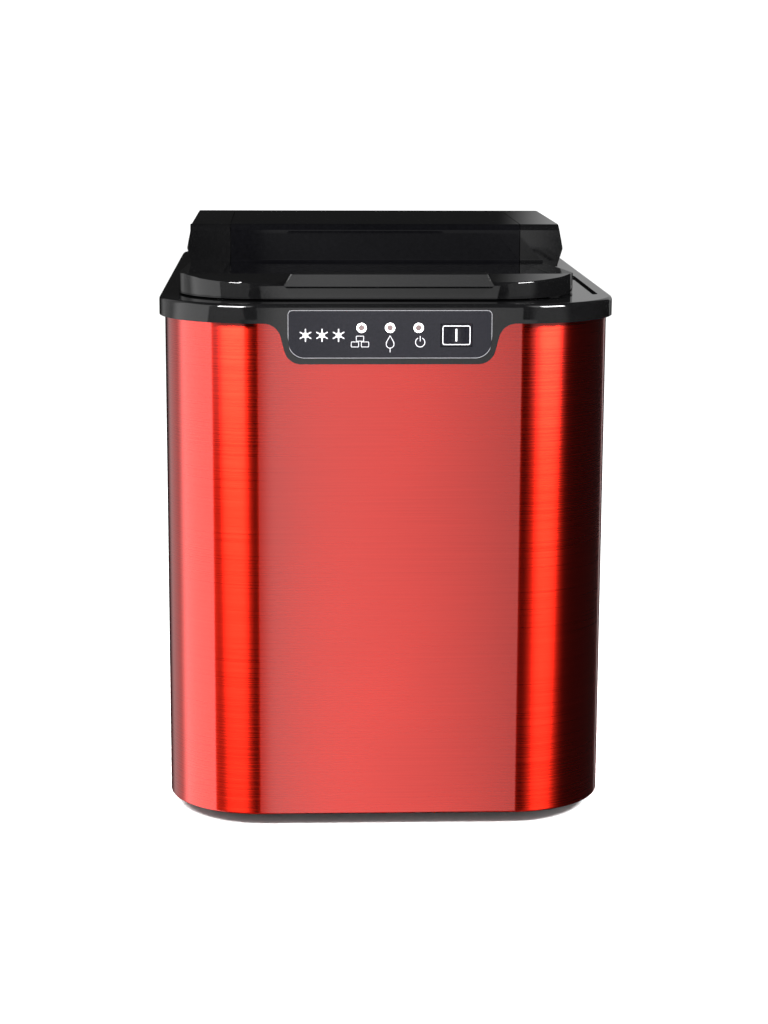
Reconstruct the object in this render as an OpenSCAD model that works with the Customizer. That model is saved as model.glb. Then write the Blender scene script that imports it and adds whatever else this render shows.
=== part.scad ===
// Counter-top ice maker: brushed sheet wrap, moulded top cover with a control tab,
// hinged lid with a smoked window and a rear hump, and the freezing works inside.
// Millimetres. +Z up, front faces -Y, origin on the floor at the centre of the plan.

/* [Overall] */
// Width across the top cover rim
body_w = 242; // [195:1:300]
// Depth across the top cover rim
body_d = 358; // [295:1:435]
// Height from the floor to the top of the lid hump
body_h = 307; // [255:1:370]
// Height of the shell's lower edge above the floor
foot_h = 7; // [5:0.5:12]

/* [Shell] */
// How far the rim stands proud of the shell
rim_over = 3; // [2:0.5:5]
// Outside radius of the shell's front corners
front_r = 50; // [30:1:60]
// Outside radius of the shell's rear corners
rear_r = 30; // [20:1:40]
// Sheet thickness
sheet_t = 1; // [0.8:0.1:1.5]

/* [Top cover] */
// Height of the rim band
rim_h = 10; // [8:0.5:14]
// How far the control tab hangs below the rim
tab_drop = 21; // [16:0.5:26]
// Wall of the moulded plastic pieces
wall = 2.4; // [1.8:0.1:3]

/* [Lid] */
// Height of the hump above the rim
hump_rise = 26; // [20:1:40]
// Depth of the hump, front to back
hump_d = 135.6; // [100:0.2:150]
// Gap between the lid's front wall and the rim's front face
lid_front_gap = 18; // [10:1:24]
// Gap between the lid's side and the rim's side face
lid_side_gap = 10; // [8:0.5:14]
// How much further in the lid plate's right side stands, beside the vent strip
lid_right_in = 10; // [6:0.5:14]
// Half width of the smoked window
window_hw = 87; // [60:1:95]
// Hinge pin radius
pin_r = 2.5; // [2:0.1:3.5]

/* [Ice works] */
// Inside radius of the swinging water tray
tray_r = 40; // [33:1:44]
// Radius of one freezing finger
finger_r = 4.5; // [3:0.1:5]
// Height of the ice basket
basket_h = 102; // [60:1:110]

/* [Cooling] */
// Radius of the compressor pot
comp_r = 46; // [36:1:50]
// Tallest the compressor may be
comp_h_max = 118; // [80:1:130]

/* [Fits] */
// Gap between pieces that move past each other
gap = 0.4; // [0.3:0.05:0.8]
// Radial running clearance of a pin in its bore
run = 0.05; // [0.02:0.01:0.1]
// Gap left at a glued or clipped seam
seam = 0.2; // [0.1:0.05:0.4]

/* [Hidden] */
$fn = 64;
eps = 0.01;
sw = body_w / 2 - rim_over;                // shell half width
sd = body_d / 2 - rim_over;                // shell half depth
hw = body_w / 2;
hd = body_d / 2;
deck_z = body_h - hump_rise;               // flat top of the cover
rim_z = deck_z - rim_h;
base_z = foot_h + sheet_t + seam;          // underside of the base tray
base_top = base_z + 2.6;
// inner liner
tub_hw = sw - 21;
tub_y0 = -sd + 28;
axis_y = sd - 114;                         // swing axis of the tray
axis_z = deck_z - 33;
step_y = axis_y - 44;                      // rear wall of the deep part
tub_y1 = axis_y + 63;
tub_z = base_top + 29.2;                   // underside of the reservoir floor
shelf_z = axis_z - 66;
// lid
lid_hw = hw - lid_side_gap;
lid_y0 = -hd + lid_front_gap;
hinge_y = hd - 16;
hinge_z = deck_z + 6.5;
lid_y1 = hinge_y + 6;
hump_y0 = lid_y1 - hump_d;
hump_hw = lid_hw - 0.8;
bulge = 2.8;
ear_r = 5.4;
ear_x = tub_hw + 4;                         // centre of a hinge ear, 4 thick
ear_sweep = norm([ear_r, hinge_z - deck_z]) + gap;
lid_z0 = deck_z + 0.8;
lid_edge_z = deck_z + 9.4;                 // top of the lid's front wall
lid_win_z = deck_z + 11.6;                 // highest line, at the window's front edge
hump_base_z = deck_z + 3.3;
win_y0 = lid_y0 + 27;
win_y1 = lid_y1 - 20;
win_r = 18;
win_t = 2;
// vent strip
strip_r = 2.8;
strip_x = lid_hw;
strip_y0 = lid_y0 + 36;
strip_y1 = hump_y0 - 54;
// control tab
tab_hw = (sw - front_r) * 0.825;
ps = tab_hw / 56.1;                        // scale of everything on the tab
led_z = rim_z - 2.2;
btn_x = 34.2 * ps;
btn_z = rim_z - 6;
btn_w = 15.6 * ps;
btn_h = 11.2;
led_x = [-14.7 * ps, 0, 14.7 * ps];
ov_t = 0.6;
// tray and evaporator
tray_hl = tub_hw - 19;
tray_t = 2;
dish_r = tray_r + 10;
tube_dy = 12;
tube_dz = 10;
tube_r = 4;
pitch = (tray_hl - 22) / 2;
spout_y = axis_y - 34;
line_x = -tray_hl - 3;                     // refrigerant lines enter the evaporator here
// cooling bay
comp_x = sw - 66;
comp_y = sd - 68;
comp_z = base_top + 11.6;
comp_h = min(comp_h_max, shelf_z - comp_z - 30);
mount_r = comp_r + 4;                      // circle of the compressor's rubber mounts
mount_a = [90, 210, 330];
vx = comp_x - comp_r - 22;                  // column of the drier and the valve
vy = sd - 22;
cond_x0 = -sw + 6;
cond_y0 = sd - 124;
cond_y1 = sd - 28;
cond_z0 = base_top + 19;
cond_z1 = shelf_z - 22;
fan_y = (cond_y0 + cond_y1) / 2;
fan_z = (cond_z0 + cond_z1) / 2;
fan_r = min(cond_y1 - cond_y0, cond_z1 - cond_z0) / 2 - 4;
shroud_x = cond_x0 + 22;
drier_z = cond_z0 + 24;
drier_l = (shelf_z - 42 - drier_z) * 0.812;
pump_x = -tub_hw + 30;
pump_y = tub_y0 + 48;
drain_y = tub_y0 + 88;
drain_z = tub_z + 12;
panel_hw = sw - rear_r + 1.5;
screw_x = panel_hw - 5.5;
screw_z = [for (k = [0.08, 0.5, 0.94]) base_z + 20 + k * (deck_z - base_z - 34)];
gland_x = sw - 58;
gland_z = base_top + 40;

// ---- helpers ----

// points of a circular corner of radius r at c, between the sides towards a and b
function corner(a, c, b, r, n) = r <= 0 ? [c] :
  let (u = (a - c) / norm(a - c), v = (b - c) / norm(b - c), g = acos(u * v),
       d = r / tan(g / 2), w = sin(g / 2))
  [for (k = [0:n]) let (t = k / n, q = (1 - t) * (1 - t) + 2 * t * (1 - t) * w + t * t)
    ((1 - t) * (1 - t) * (c + u * d) + 2 * t * (1 - t) * w * c + t * t * (c + v * d)) / q];
// a polygon's points with every corner rounded by its own radius
function rounded(p, r, n = 6) = [for (i = [0:len(p) - 1])
  each corner(p[(i + len(p) - 1) % len(p)], p[i], p[(i + 1) % len(p)], r[i], n)];

module along_x(x0, x1) { translate([x0, 0, 0]) rotate([90, 0, 90]) linear_extrude(x1 - x0) children(); }
module along_y(y0, y1) { translate([0, y1, 0]) rotate([90, 0, 0]) linear_extrude(y1 - y0) children(); }
module along_z(z0, z1) { translate([0, 0, z0]) linear_extrude(z1 - z0) children(); }
module rod_x(x0, x1, y, z, r) { translate([x0, y, z]) rotate([0, 90, 0]) cylinder(r = r, h = x1 - x0); }
module rod_y(y0, y1, x, z, r) { translate([x, y1, z]) rotate([90, 0, 0]) cylinder(r = r, h = y1 - y0); }
module rod_z(z0, z1, x, y, r) { translate([x, y, z0]) cylinder(r = r, h = z1 - z0); }
module box(lo, hi) { translate(lo) cube(hi - lo); }

// plan outline with its own front and rear corner radii
module plan(h, y0, y1, rf, rr) {
  translate([-(h - rf), y0]) square([2 * (h - rf), rf + eps]);
  translate([-h, y0 + rf]) square([2 * h, y1 - y0 - rf - rr]);
  translate([-(h - rr), y1 - rr - eps]) square([2 * (h - rr), rr + eps]);
  for (s = [-1, 1]) {
    translate([s * (h - rf), y0 + rf]) circle(rf);
    translate([s * (h - rr), y1 - rr]) circle(rr);
  }
}
module body_plan(inset) { plan(sw - inset, -sd + inset, sd - inset, front_r - inset, rear_r - inset); }

// a pipe through a list of points, with ball corners and flat ends
module pipe(p, r) {
  for (i = [0:len(p) - 2]) let (d = p[i + 1] - p[i], l = norm(d))
    translate(p[i]) rotate([0, acos(d[2] / l), atan2(d[1], d[0])]) cylinder(r = r, h = l);
  if (len(p) > 2) for (i = [1:len(p) - 2]) translate(p[i]) sphere(r);
}

// outline of the control tab, seen from the front, as X and Z
module tab_outline(inset = 0) {
  h = tab_hw; z1 = rim_z; z0 = rim_z - tab_drop;
  polygon(rounded([[-h - 20, z1 + 4], [-h - 20, z1], [-h - 2, z1], [-h + 3.4, z0], [h - 3.4, z0],
    [h + 2, z1], [h + 20, z1], [h + 20, z1 + 4]], [0, 0, 9, 9, 9, 9, 0, 0], 8));
}
module overlay_outline(grow = 0) {
  h = tab_hw - 3.4 + grow; z1 = deck_z - 3 + grow; z0 = rim_z - tab_drop + 3 - grow;
  polygon(rounded([[-h, z0 + 12], [-h + 1.6, z0], [h - 1.6, z0], [h, z0 + 12], [h, z1], [-h, z1]],
    [12, 7, 7, 12, 2.5, 2.5], 8));
}

// ---- case ----

module outer_shell() {
  color("#b3262a") difference() {
    union() {
      difference() {
        along_z(foot_h, deck_z - wall - 2.5) body_plan(0);
        along_z(foot_h - 1, deck_z) body_plan(sheet_t);
      }
      difference() {                        // turned-in hem along the bottom edge
        along_z(foot_h, foot_h + sheet_t) body_plan(sheet_t / 2);
        along_z(foot_h - 1, foot_h + sheet_t + 1) body_plan(8);
      }
    }
    // opening across the back, for the rear panel
    box([-screw_x + 6, sd - 4, foot_h - 1], [screw_x - 6, sd + 1, deck_z]);
    for (s = [-1, 1], z = screw_z) rod_y(sd - 2, sd + 1, s * screw_x, z, 1.8);
    // notch behind the control tab
    box([-tab_hw + 8, -sd - 1, rim_z - tab_drop + 5], [tab_hw - 8, -sd + 2, deck_z]);
    // exhaust opening, left side
    box([-sw - 1, cond_y0 + 4, cond_z0 + 6], [-sw + 2, cond_y1 - 4, cond_z1 - 6]);
    rod_x(sw - 3, sw + 1, drain_y, drain_z, 14.5);
  }
}

module base_tray() {
  color("#222222") difference() {
    along_z(base_z, base_z + 16) body_plan(sheet_t + seam);
    difference() {
      along_z(base_top, base_z + 17) body_plan(sheet_t + seam + wall);
      // bosses that carry the compressor's rubber mounts
      for (a = mount_a)
        rod_z(base_top - 1, base_top + 2, comp_x + mount_r * cos(a), comp_y + mount_r * sin(a), 11);
      for (s = [-1, 1]) box([s * 40 - 2, tub_y0 + 4, base_top - 1], [s * 40 + 2, step_y, base_top + 10]);
    }
    for (x = [-1, 1], y = [-1, 1])
      rod_z(base_z - 1, base_top + 1, x * (sw - 30), y * (sd - 36), 4);
    for (x = [-1, 1], y = [-1, 0, 1]) rod_z(base_z - 1, base_top + 1, x * 24, y * 52 + comp_y - 60, 2.5);
    // the compressor's studs come up from below
    for (a = mount_a)
      rod_z(base_z - 1, base_top + 3, comp_x + mount_r * cos(a), comp_y + mount_r * sin(a), 3);
  }
}

module feet() {
  color("#1a1a1a") for (x = [-1, 1], y = [-1, 1]) translate([x * (sw - 30), y * (sd - 36), 0]) {
    rotate_extrude() polygon([[0, 0], [9.5, 0], [11, 1.2], [12, foot_h + 1], [12, base_z],
      [4, base_z], [4, base_top + 0.4], [6, base_top + 0.4], [4.5, base_top + 3.6], [0, base_top + 3.6]]);
  }
}

module rear_panel() {
  h = panel_hw; y0 = sd - sheet_t - seam - wall; y1 = sd - sheet_t - 0.1;
  color("#202020") difference() {
    union() {
      along_y(y0, y1) polygon(rounded([[-h, base_z + 16.4], [h, base_z + 16.4], [h, deck_z - wall - 3],
        [-h, deck_z - wall - 3]], [2, 2, 2, 2], 4));
      // stiffening flanges along both sides
      for (s = [-1, 1])
        box([s * (h - 2) - 1.2, y0 - 4, base_z + 20], [s * (h - 2) + 1.2, y0 + eps, deck_z - 20]);
    }
    for (s = [-1, 1], i = [0:11]) translate([s * 37, 0, base_z + 78 + i * 9]) along_y(y0 - 1, y1 + 1) {
      square([52, 4], center = true);
      for (e = [-1, 1]) translate([e * 26, 0]) circle(2);
    }
    rod_y(y0 - 1, y1 + 1, gland_x, gland_z, 8);
    for (s = [-1, 1], z = screw_z) rod_y(y0 - 1, y1 + 1, s * screw_x, z, 1.6);
  }
}

module cord_gland() {
  y1 = sd - sheet_t - 0.1;
  color("#161616") difference() {
    union() {
      rod_y(y1, y1 + 2, gland_x, gland_z, 11);
      rod_y(y1 - 8, y1 + eps, gland_x, gland_z, 8);
      rod_y(y1 - 8, y1 - wall - 0.3, gland_x, gland_z, 10);
      rod_y(y1 + 2 - eps, hd - 0.2, gland_x, gland_z, 7);
    }
    rod_y(y1 - 9, hd + 1, gland_x, gland_z, 4);
  }
}

module exhaust_grille() {
  y0 = cond_y0 + 4.4; y1 = cond_y1 - 4.4; z0 = cond_z0 + 6.4; z1 = cond_z1 - 6.4; n = 11;
  color("#1c1c1c") difference() {
    union() {
      box([-sw - 0.8, y0, z0], [-sw + sheet_t + 0.2, y1, z1]);
      box([-sw + sheet_t + 0.1, y0 - 3.5, z0 - 3.5], [-sw + sheet_t + 1.6, y1 + 3.5, z1 + 3.5]);
    }
    for (i = [0:n - 1]) let (z = z0 + 6 + i * (z1 - z0 - 12) / (n - 1)) for (s = [0, 1])
      box([-sw - 2, y0 + 5 + s * (y1 - y0 - 7) / 2, z - 2.4],
          [-sw + 4, y0 + 5 + (s + 1) * (y1 - y0 - 7) / 2 - 3, z + 2.4]);
  }
}

module top_cover() {
  color("#0d0d0d") difference() {
    union() {
      difference() {                        // rim band and deck
        along_z(rim_z, deck_z) body_plan(-rim_over);
        along_z(rim_z - 1, deck_z - wall) body_plan(-seam);
      }
      difference() {                        // control tab
        along_y(-hd, -sd - seam) tab_outline();
        box([-hw, -hd - 1, rim_z + 2], [hw, hd, deck_z]);
      }
      difference() {                        // drip lip round the well
        along_z(deck_z - eps, deck_z + 0.5) plan(tub_hw + 3, tub_y0 + 5, hinge_y - 10, 16, 4);
        along_z(deck_z - 1, deck_z + 1) plan(tub_hw + 1, tub_y0 + 7, hinge_y - 10 + 4, 14, 4);
      }
      // ears that carry the hinge pins
      for (s = [-1, 1]) hinge_ear(s * ear_x);
      // screw bosses under the deck
      for (x = [-1, 1], y = [-0.82, 0.82])
        rod_z(deck_z - wall - 8, deck_z - wall + eps, x * (sw - 10), y * (sd - 50), 4);
    }
    // the well over the basket and the freezing works
    along_z(deck_z - wall - 1, deck_z + 12) plan(tub_hw + 1, tub_y0 + 7, hinge_y + 5, 14, 4);
    // blind vent strip in the deck, right of the lid plate
    along_z(deck_z - 1.2, deck_z + 1) translate([strip_x, 0]) {
      translate([-strip_r, strip_y0]) square([2 * strip_r, strip_y1 - strip_y0]);
      for (y = [strip_y0, strip_y1]) translate([0, y]) circle(strip_r);
    }
    // recess for the printed overlay
    along_y(-hd - 1, -hd + ov_t) overlay_outline(seam / 2);
    for (x = led_x) rod_y(-hd - 1, -sd + 2, x, led_z, 2.7);
    // opening for the push key
    along_y(-hd - 1, -sd + 2) translate([btn_x, btn_z]) square([btn_w + 2 * gap, btn_h + 2 * gap], center = true);
    for (s = [-1, 1]) rod_x(-hw, hw, hinge_y, hinge_z, pin_r);
    for (x = [-1, 1], y = [-0.82, 0.82])
      rod_z(deck_z - wall - 9, deck_z - wall - 1, x * (sw - 10), y * (sd - 50), 1.4);
  }
}
// one hinge ear, centred on x, standing on the side of the deck
module hinge_ear(x) {
  along_x(x - 2, x + 2) union() {
    translate([hinge_y, hinge_z]) circle(ear_r);
    translate([hinge_y - ear_r, deck_z - wall]) square([2 * ear_r, hinge_z - deck_z + wall]);
  }
}

module panel_overlay() {
  color("#3a3c40") difference() {
    along_y(-hd, -hd + ov_t) overlay_outline();
    for (x = led_x) rod_y(-hd - 1, -hd + 2, x, led_z, 2.7);
    along_y(-hd - 1, -hd + 2) translate([btn_x, btn_z]) square([btn_w + 2 * gap, btn_h + 2 * gap], center = true);
  }
}

module led_rings() {
  color("#f2f2f2") for (x = led_x) difference() {
    union() {
      rod_y(-hd, -sd - seam, x, led_z, 2.6);
      rod_y(-sd - seam, -sd + 1.6, x, led_z, 3.4);
    }
    rod_y(-hd - 1, -sd + 3, x, led_z, 1.5);
  }
}

module led_lenses() {
  color("#d8c8c4") for (x = led_x) {
    rod_y(-hd + 0.3, -sd + 1.6, x, led_z, 1.4);
    rod_y(-sd + 1.6, -sd + 3, x, led_z, 2.4);
  }
}

module power_button() {
  color("#2a2c30") difference() {
    union() {
      along_y(-hd, -sd + 2) translate([btn_x, btn_z]) square([btn_w, btn_h], center = true);
      along_y(-sd - seam + 0.1, -sd + 2) translate([btn_x, btn_z]) square([btn_w + 4, btn_h + 3], center = true);
      rod_y(-sd + 2 - eps, -sd + 4.2, btn_x, btn_z, 2);
    }
    // dished face, so that a finger centres on it
    translate([btn_x, -hd - 38.6, btn_z]) cylinder(r = 39.4, h = btn_h - 3, center = true);
  }
}

module control_pcb() {
  y0 = -sd + 7;
  color("#1f6b3a") difference() {
    union() {
      box([-tab_hw + 10, y0, rim_z - tab_drop + 6], [tab_hw - 10, y0 + 1.6, deck_z - wall - 2]);
      for (x = led_x) {
        rod_y(-sd + 4.4, y0 + eps, x, led_z, 2.5);
        translate([x, -sd + 4.4, led_z]) sphere(1.4);
      }
      box([-tab_hw + 14, y0 + 1.5, rim_z - 12], [-tab_hw + 24, y0 + 6, rim_z - 4]);
      box([-6, y0 + 1.5, rim_z - 10], [4, y0 + 3.5, rim_z]);
    }
    for (s = [-1, 1]) rod_y(y0 - 1, y0 + 3, s * (tab_hw - 13), rim_z + 3, 1.6);
  }
}

module tact_switch() {
  color("#111111") {
    box([btn_x - 3, -sd + 6, btn_z - 3], [btn_x + 3, -sd + 7, btn_z + 3]);
  }
}

// ---- liner and water side ----

module inner_liner() {
  t = wall; top = deck_z - wall - 0.1;
  color("#e6e8ea") difference() {
    union() {
      along_z(tub_z, top) plan(tub_hw, tub_y0, step_y, 16, 4);
      along_z(shelf_z, top) plan(tub_hw, step_y - 30, tub_y1, 4, 8);
      along_z(top - 2, top) plan(tub_hw + 7, tub_y0 - 5, tub_y1 + 6, 20, 8);
    }
    along_z(tub_z + t, top + 1) plan(tub_hw - t, tub_y0 + t, step_y - t, 14, 3);
    along_z(shelf_z + t, top + 1) plan(tub_hw - t, step_y - t - 10, tub_y1 - t, 2, 6);
    rod_x(tub_hw - t - 1, tub_hw + 1, drain_y, drain_z, 9);
    rod_z(tub_z - 1, tub_z + t + 1, pump_x, pump_y, 5);
    rod_x(-tub_hw - 1, -tub_hw + t + 1, spout_y, axis_z + 16, 3.5);
    rod_x(tub_hw - t - 1, tub_hw + 1, axis_y, axis_z, 4.5);
    for (d = [0, 12]) rod_y(tub_y1 - t - 1, tub_y1 + 1, line_x, axis_z + tube_dz + d, 2.6);
    for (s = [-1, 1]) rod_x(s * (tub_hw - t / 2) - t, s * (tub_hw - t / 2) + t, step_y - 38, axis_z - 24, 3);
  }
  // ledges that the basket stands on
  color("#e6e8ea") for (s = [-1, 1])
    box([s * (tub_hw - t - 5.5) - 5.6, tub_y0 + 22, tub_z + 60],
        [s * (tub_hw - t - 5.5) + 5.6, step_y - 8, tub_z + 64]);
}

module inner_cover() {
  top = deck_z - wall - 0.1;
  color("#1b1b1b") difference() {
    union() {
      box([-tub_hw - 7, tub_y1 + 6.4, top - 2], [tub_hw + 7, hinge_y + 8, top]);
      box([-tub_hw + 4, tub_y1 + 8, top - 6], [tub_hw - 4, tub_y1 + 10, top - 2 + eps]);
    }
    for (i = [-3:3]) box([i * 22 - 7, tub_y1 + 20, top - 4], [i * 22 + 7, tub_y1 + 23, top + 1]);
  }
}

module insulation() {
  color("#e9e3cf") difference() {
    along_z(tub_z + 2, rim_z - tab_drop - 8)
      plan(sw - sheet_t - 0.6, -sd + sheet_t + 0.6, step_y - 6, front_r - 1.6, 4);
    along_z(tub_z, deck_z) plan(tub_hw + 0.3, tub_y0 - 0.3, step_y + 10, 16.3, 4);
    rod_x(tub_hw - 1, sw, drain_y, drain_z, 16);
    for (s = [-1, 1]) rod_x(s * tub_hw - 8, s * tub_hw + 8, step_y - 38, axis_z - 24, 7);
    rod_x(-sw, -tub_hw + 2, tub_y0 + 60, tub_z + 38, 8);
  }
}

module inlet_strainer() {
  z = tub_z + wall;
  color("#c9ccd0") difference() {
    union() {
      rod_z(z, z + 2, pump_x, pump_y, 11);
      rod_z(z, z + 9, pump_x, pump_y, 8);
    }
    rod_z(z - 1, z + 7.4, pump_x, pump_y, 6.6);
    for (a = [0:30:150]) translate([pump_x, pump_y, z + 5]) rotate(a) cube([30, 1.4, 3.6], center = true);
  }
}

module level_probes() {
  y = tub_y0 + 60;
  color("#c8c8c8") for (z = [tub_z + 16, tub_z + 38]) {
    rod_x(-tub_hw + wall, -tub_hw + wall + 8, y, z, 2);
    rod_x(-tub_hw + wall, -tub_hw + wall + 2, y, z, 5);
  }
}

module ice_sensor() {
  t = wall;
  color("#2b2b2b") for (s = [-1, 1]) difference() {
    union() {
      rod_x(s * (tub_hw + 1) - 3.4, s * (tub_hw + 1) + 3.4, step_y - 38, axis_z - 24, 3);
      rod_x(s * (tub_hw - t - 2.5) - 2.5, s * (tub_hw - t - 2.5) + 2.5, step_y - 38, axis_z - 24, 6);
    }
    rod_x(s * (tub_hw - t - 5) - 2, s * (tub_hw - t - 5) + 2, step_y - 38, axis_z - 24, 3.4);
  }
}

module ice_basket() {
  h = tub_hw - wall - 8.6; y0 = tub_y0 + wall + 6; y1 = step_y - wall - 2.4; z0 = tub_z + 64 + 0.1;
  t = 1.8;
  color("#9fb3bd") difference() {
    union() {
      along_z(z0, z0 + basket_h) plan(h, y0, y1, 14, 8);
      difference() {
        along_z(z0 + basket_h - 4, z0 + basket_h) plan(h + 1.4, y0 - 1.4, y1 + 1, 15, 9);
        along_z(z0, z0 + basket_h + 1) plan(h - 1, y0 + 1, y1 - 1, 13, 7);
      }
    }
    along_z(z0 + t, z0 + basket_h + 1) plan(h - t, y0 + t, y1 - t, 12, 6);
    // drain slots in the floor, and slots in the walls
    for (i = [-4:4]) box([i * 17 - 3, y0 + 22, z0 - 1], [i * 17 + 3, y1 - 16, z0 + t + 1]);
    for (i = [-3:3]) box([i * 20 - 3, y0 - 3, z0 + 14], [i * 20 + 3, y1 + 3, z0 + basket_h - 20]);
    for (i = [-2:2]) let (c = (y0 + y1) / 2 + i * 22)
      box([-h - 3, c - 3, z0 + 14], [h + 3, c + 3, z0 + basket_h - 20]);
  }
}

// ---- freezing works ----

// a ring sector round the swing axis, from angle a0 to a1 measured from straight down towards +Y
module arc_x(x0, x1, r0, r1, a0, a1) {
  along_x(x0, x1) translate([axis_y, axis_z]) difference() {
    circle(r1);
    circle(r0);
    // keep only the sector: cut the rest with two half planes or one wedge
    rotate(a0 - 90) translate([-2 * r1, -2 * r1 - eps]) square([4 * r1, 2 * r1 + eps]);
    rotate(a1 - 90) translate([-2 * r1, 0]) square([4 * r1, 2 * r1 + eps]);
  }
}

module ice_chute() {
  h = tub_hw - 11;
  color("#dfe3e6") difference() {
    union() {
      arc_x(-h, h, dish_r, dish_r + 2.4, -55, 78);
      for (s = [-1, 1]) difference() {       // cheeks that stand on the liner's shelf
        box([s * (h - 1.2) - 1.2, axis_y - 36, shelf_z + wall + 0.1],
            [s * (h - 1.2) + 1.2, axis_y + 44, axis_z - 20]);
        rod_x(-tub_hw, tub_hw, axis_y, axis_z, dish_r + 1);
      }
    }
    for (i = [-5:5])
      box([i * 15 - 2, axis_y - 14, axis_z - dish_r - 6], [i * 15 + 2, axis_y + 14, axis_z - dish_r + 6]);
  }
}

module water_tray() {
  h = tray_hl;
  color("#f0f2f4") difference() {
    union() {
      arc_x(-h, h, tray_r, tray_r + tray_t, -68, 68);
      for (s = [-1, 1]) {
        intersection() {                     // end walls, up to just above the water line
          rod_x(s * (h - 1) - 1, s * (h - 1) + 1, axis_y, axis_z, tray_r + eps);
          box([-tub_hw, axis_y - 60, axis_z - 60], [tub_hw, axis_y + 60, axis_z - 14.5]);
        }
        box([s * (h - 1) - 1, axis_y - 6, axis_z - 16], [s * (h - 1) + 1, axis_y + 6, axis_z]);
        rod_x(s * (h - 1) - 1, s * (h - 1) + 1, axis_y, axis_z, 7.5);
      }
      rod_x(-tub_hw + wall + 0.6, -h + eps, axis_y, axis_z, 4);
    }
    rod_x(h - 3, h + 1, axis_y, axis_z, 3);
  }
}

// comb on the tray's leading lip, which sweeps the fallen ice forward as the tray swings back
module ice_shovel() {
  h = tray_hl - 4; a = -66;
  color("#d5dadd") translate([0, axis_y, axis_z]) rotate([a, 0, 0]) difference() {
    union() {
      box([-h, -1, -tray_r - 8.2], [h, 1, -tray_r - tray_t - 0.02]);
      box([-h, -1, -tray_r - tray_t - 2], [h, 5, -tray_r - tray_t - 0.35]);
    }
    for (i = [-5:5]) box([i * 12.6 - 2.2, -3, -tray_r - 9], [i * 12.6 + 2.2, 3, -tray_r - 5]);
  }
}

module tray_shaft() {
  color("#b8bcc0") union() {
    rod_x(tray_hl - 3, tray_hl, axis_y, axis_z, 3);
    rod_x(tray_hl, tub_hw + 8, axis_y, axis_z, 4);
  }
}

module tray_motor() {
  x0 = tub_hw + 0.6; x1 = sw - sheet_t - 2;
  color("#30343a") difference() {
    union() {
      box([x0, axis_y - 20, axis_z - 22], [x0 + 9, axis_y + 24, axis_z + 16]);
      rod_x(x0 + 9 - eps, x1, axis_y + 4, axis_z - 4, 15);
      for (s = [-1, 1]) rod_x(x0, x0 + 3, axis_y + 2 + s * 25, axis_z - 3, 5);
    }
    rod_x(x0 - 1, x0 + 8, axis_y, axis_z, 4 + run);
    for (s = [-1, 1]) rod_x(x0 - 1, x0 + 4, axis_y + 2 + s * 25, axis_z - 3, 1.6);
  }
}

module evap_brackets() {
  x1 = tub_hw - wall - 0.1; x0 = x1 - 3;
  color("#c4c9cc") for (s = [-1, 1]) difference() {
    union() {
      box([s < 0 ? -x1 : x0, axis_y - 24, axis_z - 12], [s < 0 ? -x0 : x1, axis_y + 26, axis_z + 22]);
      // arm over the evaporator tube
      box([s < 0 ? -x0 - eps : tray_hl + 5, axis_y - tube_dy - 5, axis_z + tube_dz + tube_r],
          [s < 0 ? -tray_hl - 5 : x0 + eps, axis_y + tube_dy + 5, axis_z + tube_dz + tube_r + 3]);
    }
    rod_x(-tub_hw, tub_hw, axis_y, axis_z, 4 + run);
    if (s < 0) for (d = [-1, 1]) rod_x(-tub_hw, -x0 + 1, axis_y + d * tube_dy, axis_z + tube_dz, tube_r + 0.1);
  }
}

module evaporator() {
  z = axis_z + tube_dz; x1 = tray_hl - 6; x0 = -tub_hw + wall + 0.8;
  color("#b9835a") {
    for (s = [-1, 1]) rod_x(x0, x1, axis_y + s * tube_dy, z, tube_r);
    translate([x1, axis_y, z]) rotate([0, 0, -90]) rotate_extrude(angle = 180)
      translate([tube_dy, 0]) circle(tube_r);
    for (i = [-2:2]) finger(i * pitch, axis_y - tube_dy);
    for (i = [-1.5:1.5]) finger(i * pitch, axis_y + tube_dy);
  }
}
module finger(x, y) {
  low = axis_z - sqrt(pow(tray_r - 4.5, 2) - pow(tube_dy, 2)) + finger_r;
  rod_z(low, axis_z + tube_dz, x, y, finger_r);
  translate([x, y, low]) sphere(finger_r);
}

module fill_spout() {
  y = spout_y; z = axis_z + 16;
  color("#e4e6e8") difference() {
    union() {
      rod_x(-tub_hw - 4, -tray_hl + 14, y, z, 3.4);
      translate([-tray_hl + 14, y, z]) sphere(3.4);
      rod_z(z - 8, z, -tray_hl + 14, y, 3.4);
      rod_x(-tub_hw + wall + 0.1, -tub_hw + wall + 2, y, z, 7);
    }
    rod_x(-tub_hw - 5, -tray_hl + 14, y, z, 2.2);
    rod_z(z - 9, z, -tray_hl + 14, y, 2.2);
    translate([-tray_hl + 14, y, z]) sphere(2.2);
  }
}

module water_pump() {
  color("#23262a") {
    rod_z(base_top + 0.1, tub_z - 4, pump_x, pump_y, 17);
    rod_z(base_top + 0.1, base_top + 3, pump_x, pump_y, 21);
    rod_z(tub_z - 4 - eps, tub_z + wall - 0.2, pump_x, pump_y, 4.9);
    rod_x(pump_x - 24, pump_x, pump_y, base_top + 16, 3.4);
  }
}

module water_hose() {
  x = -sw + 9; zb = base_top + 16; y = spout_y;
  color("#dfe5e8") pipe([[pump_x - 24.1, pump_y, zb], [x, pump_y, zb], [x, y, zb], [x, y, axis_z + 16],
    [-tub_hw - 4.1, y, axis_z + 16]], 4);
}

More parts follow.
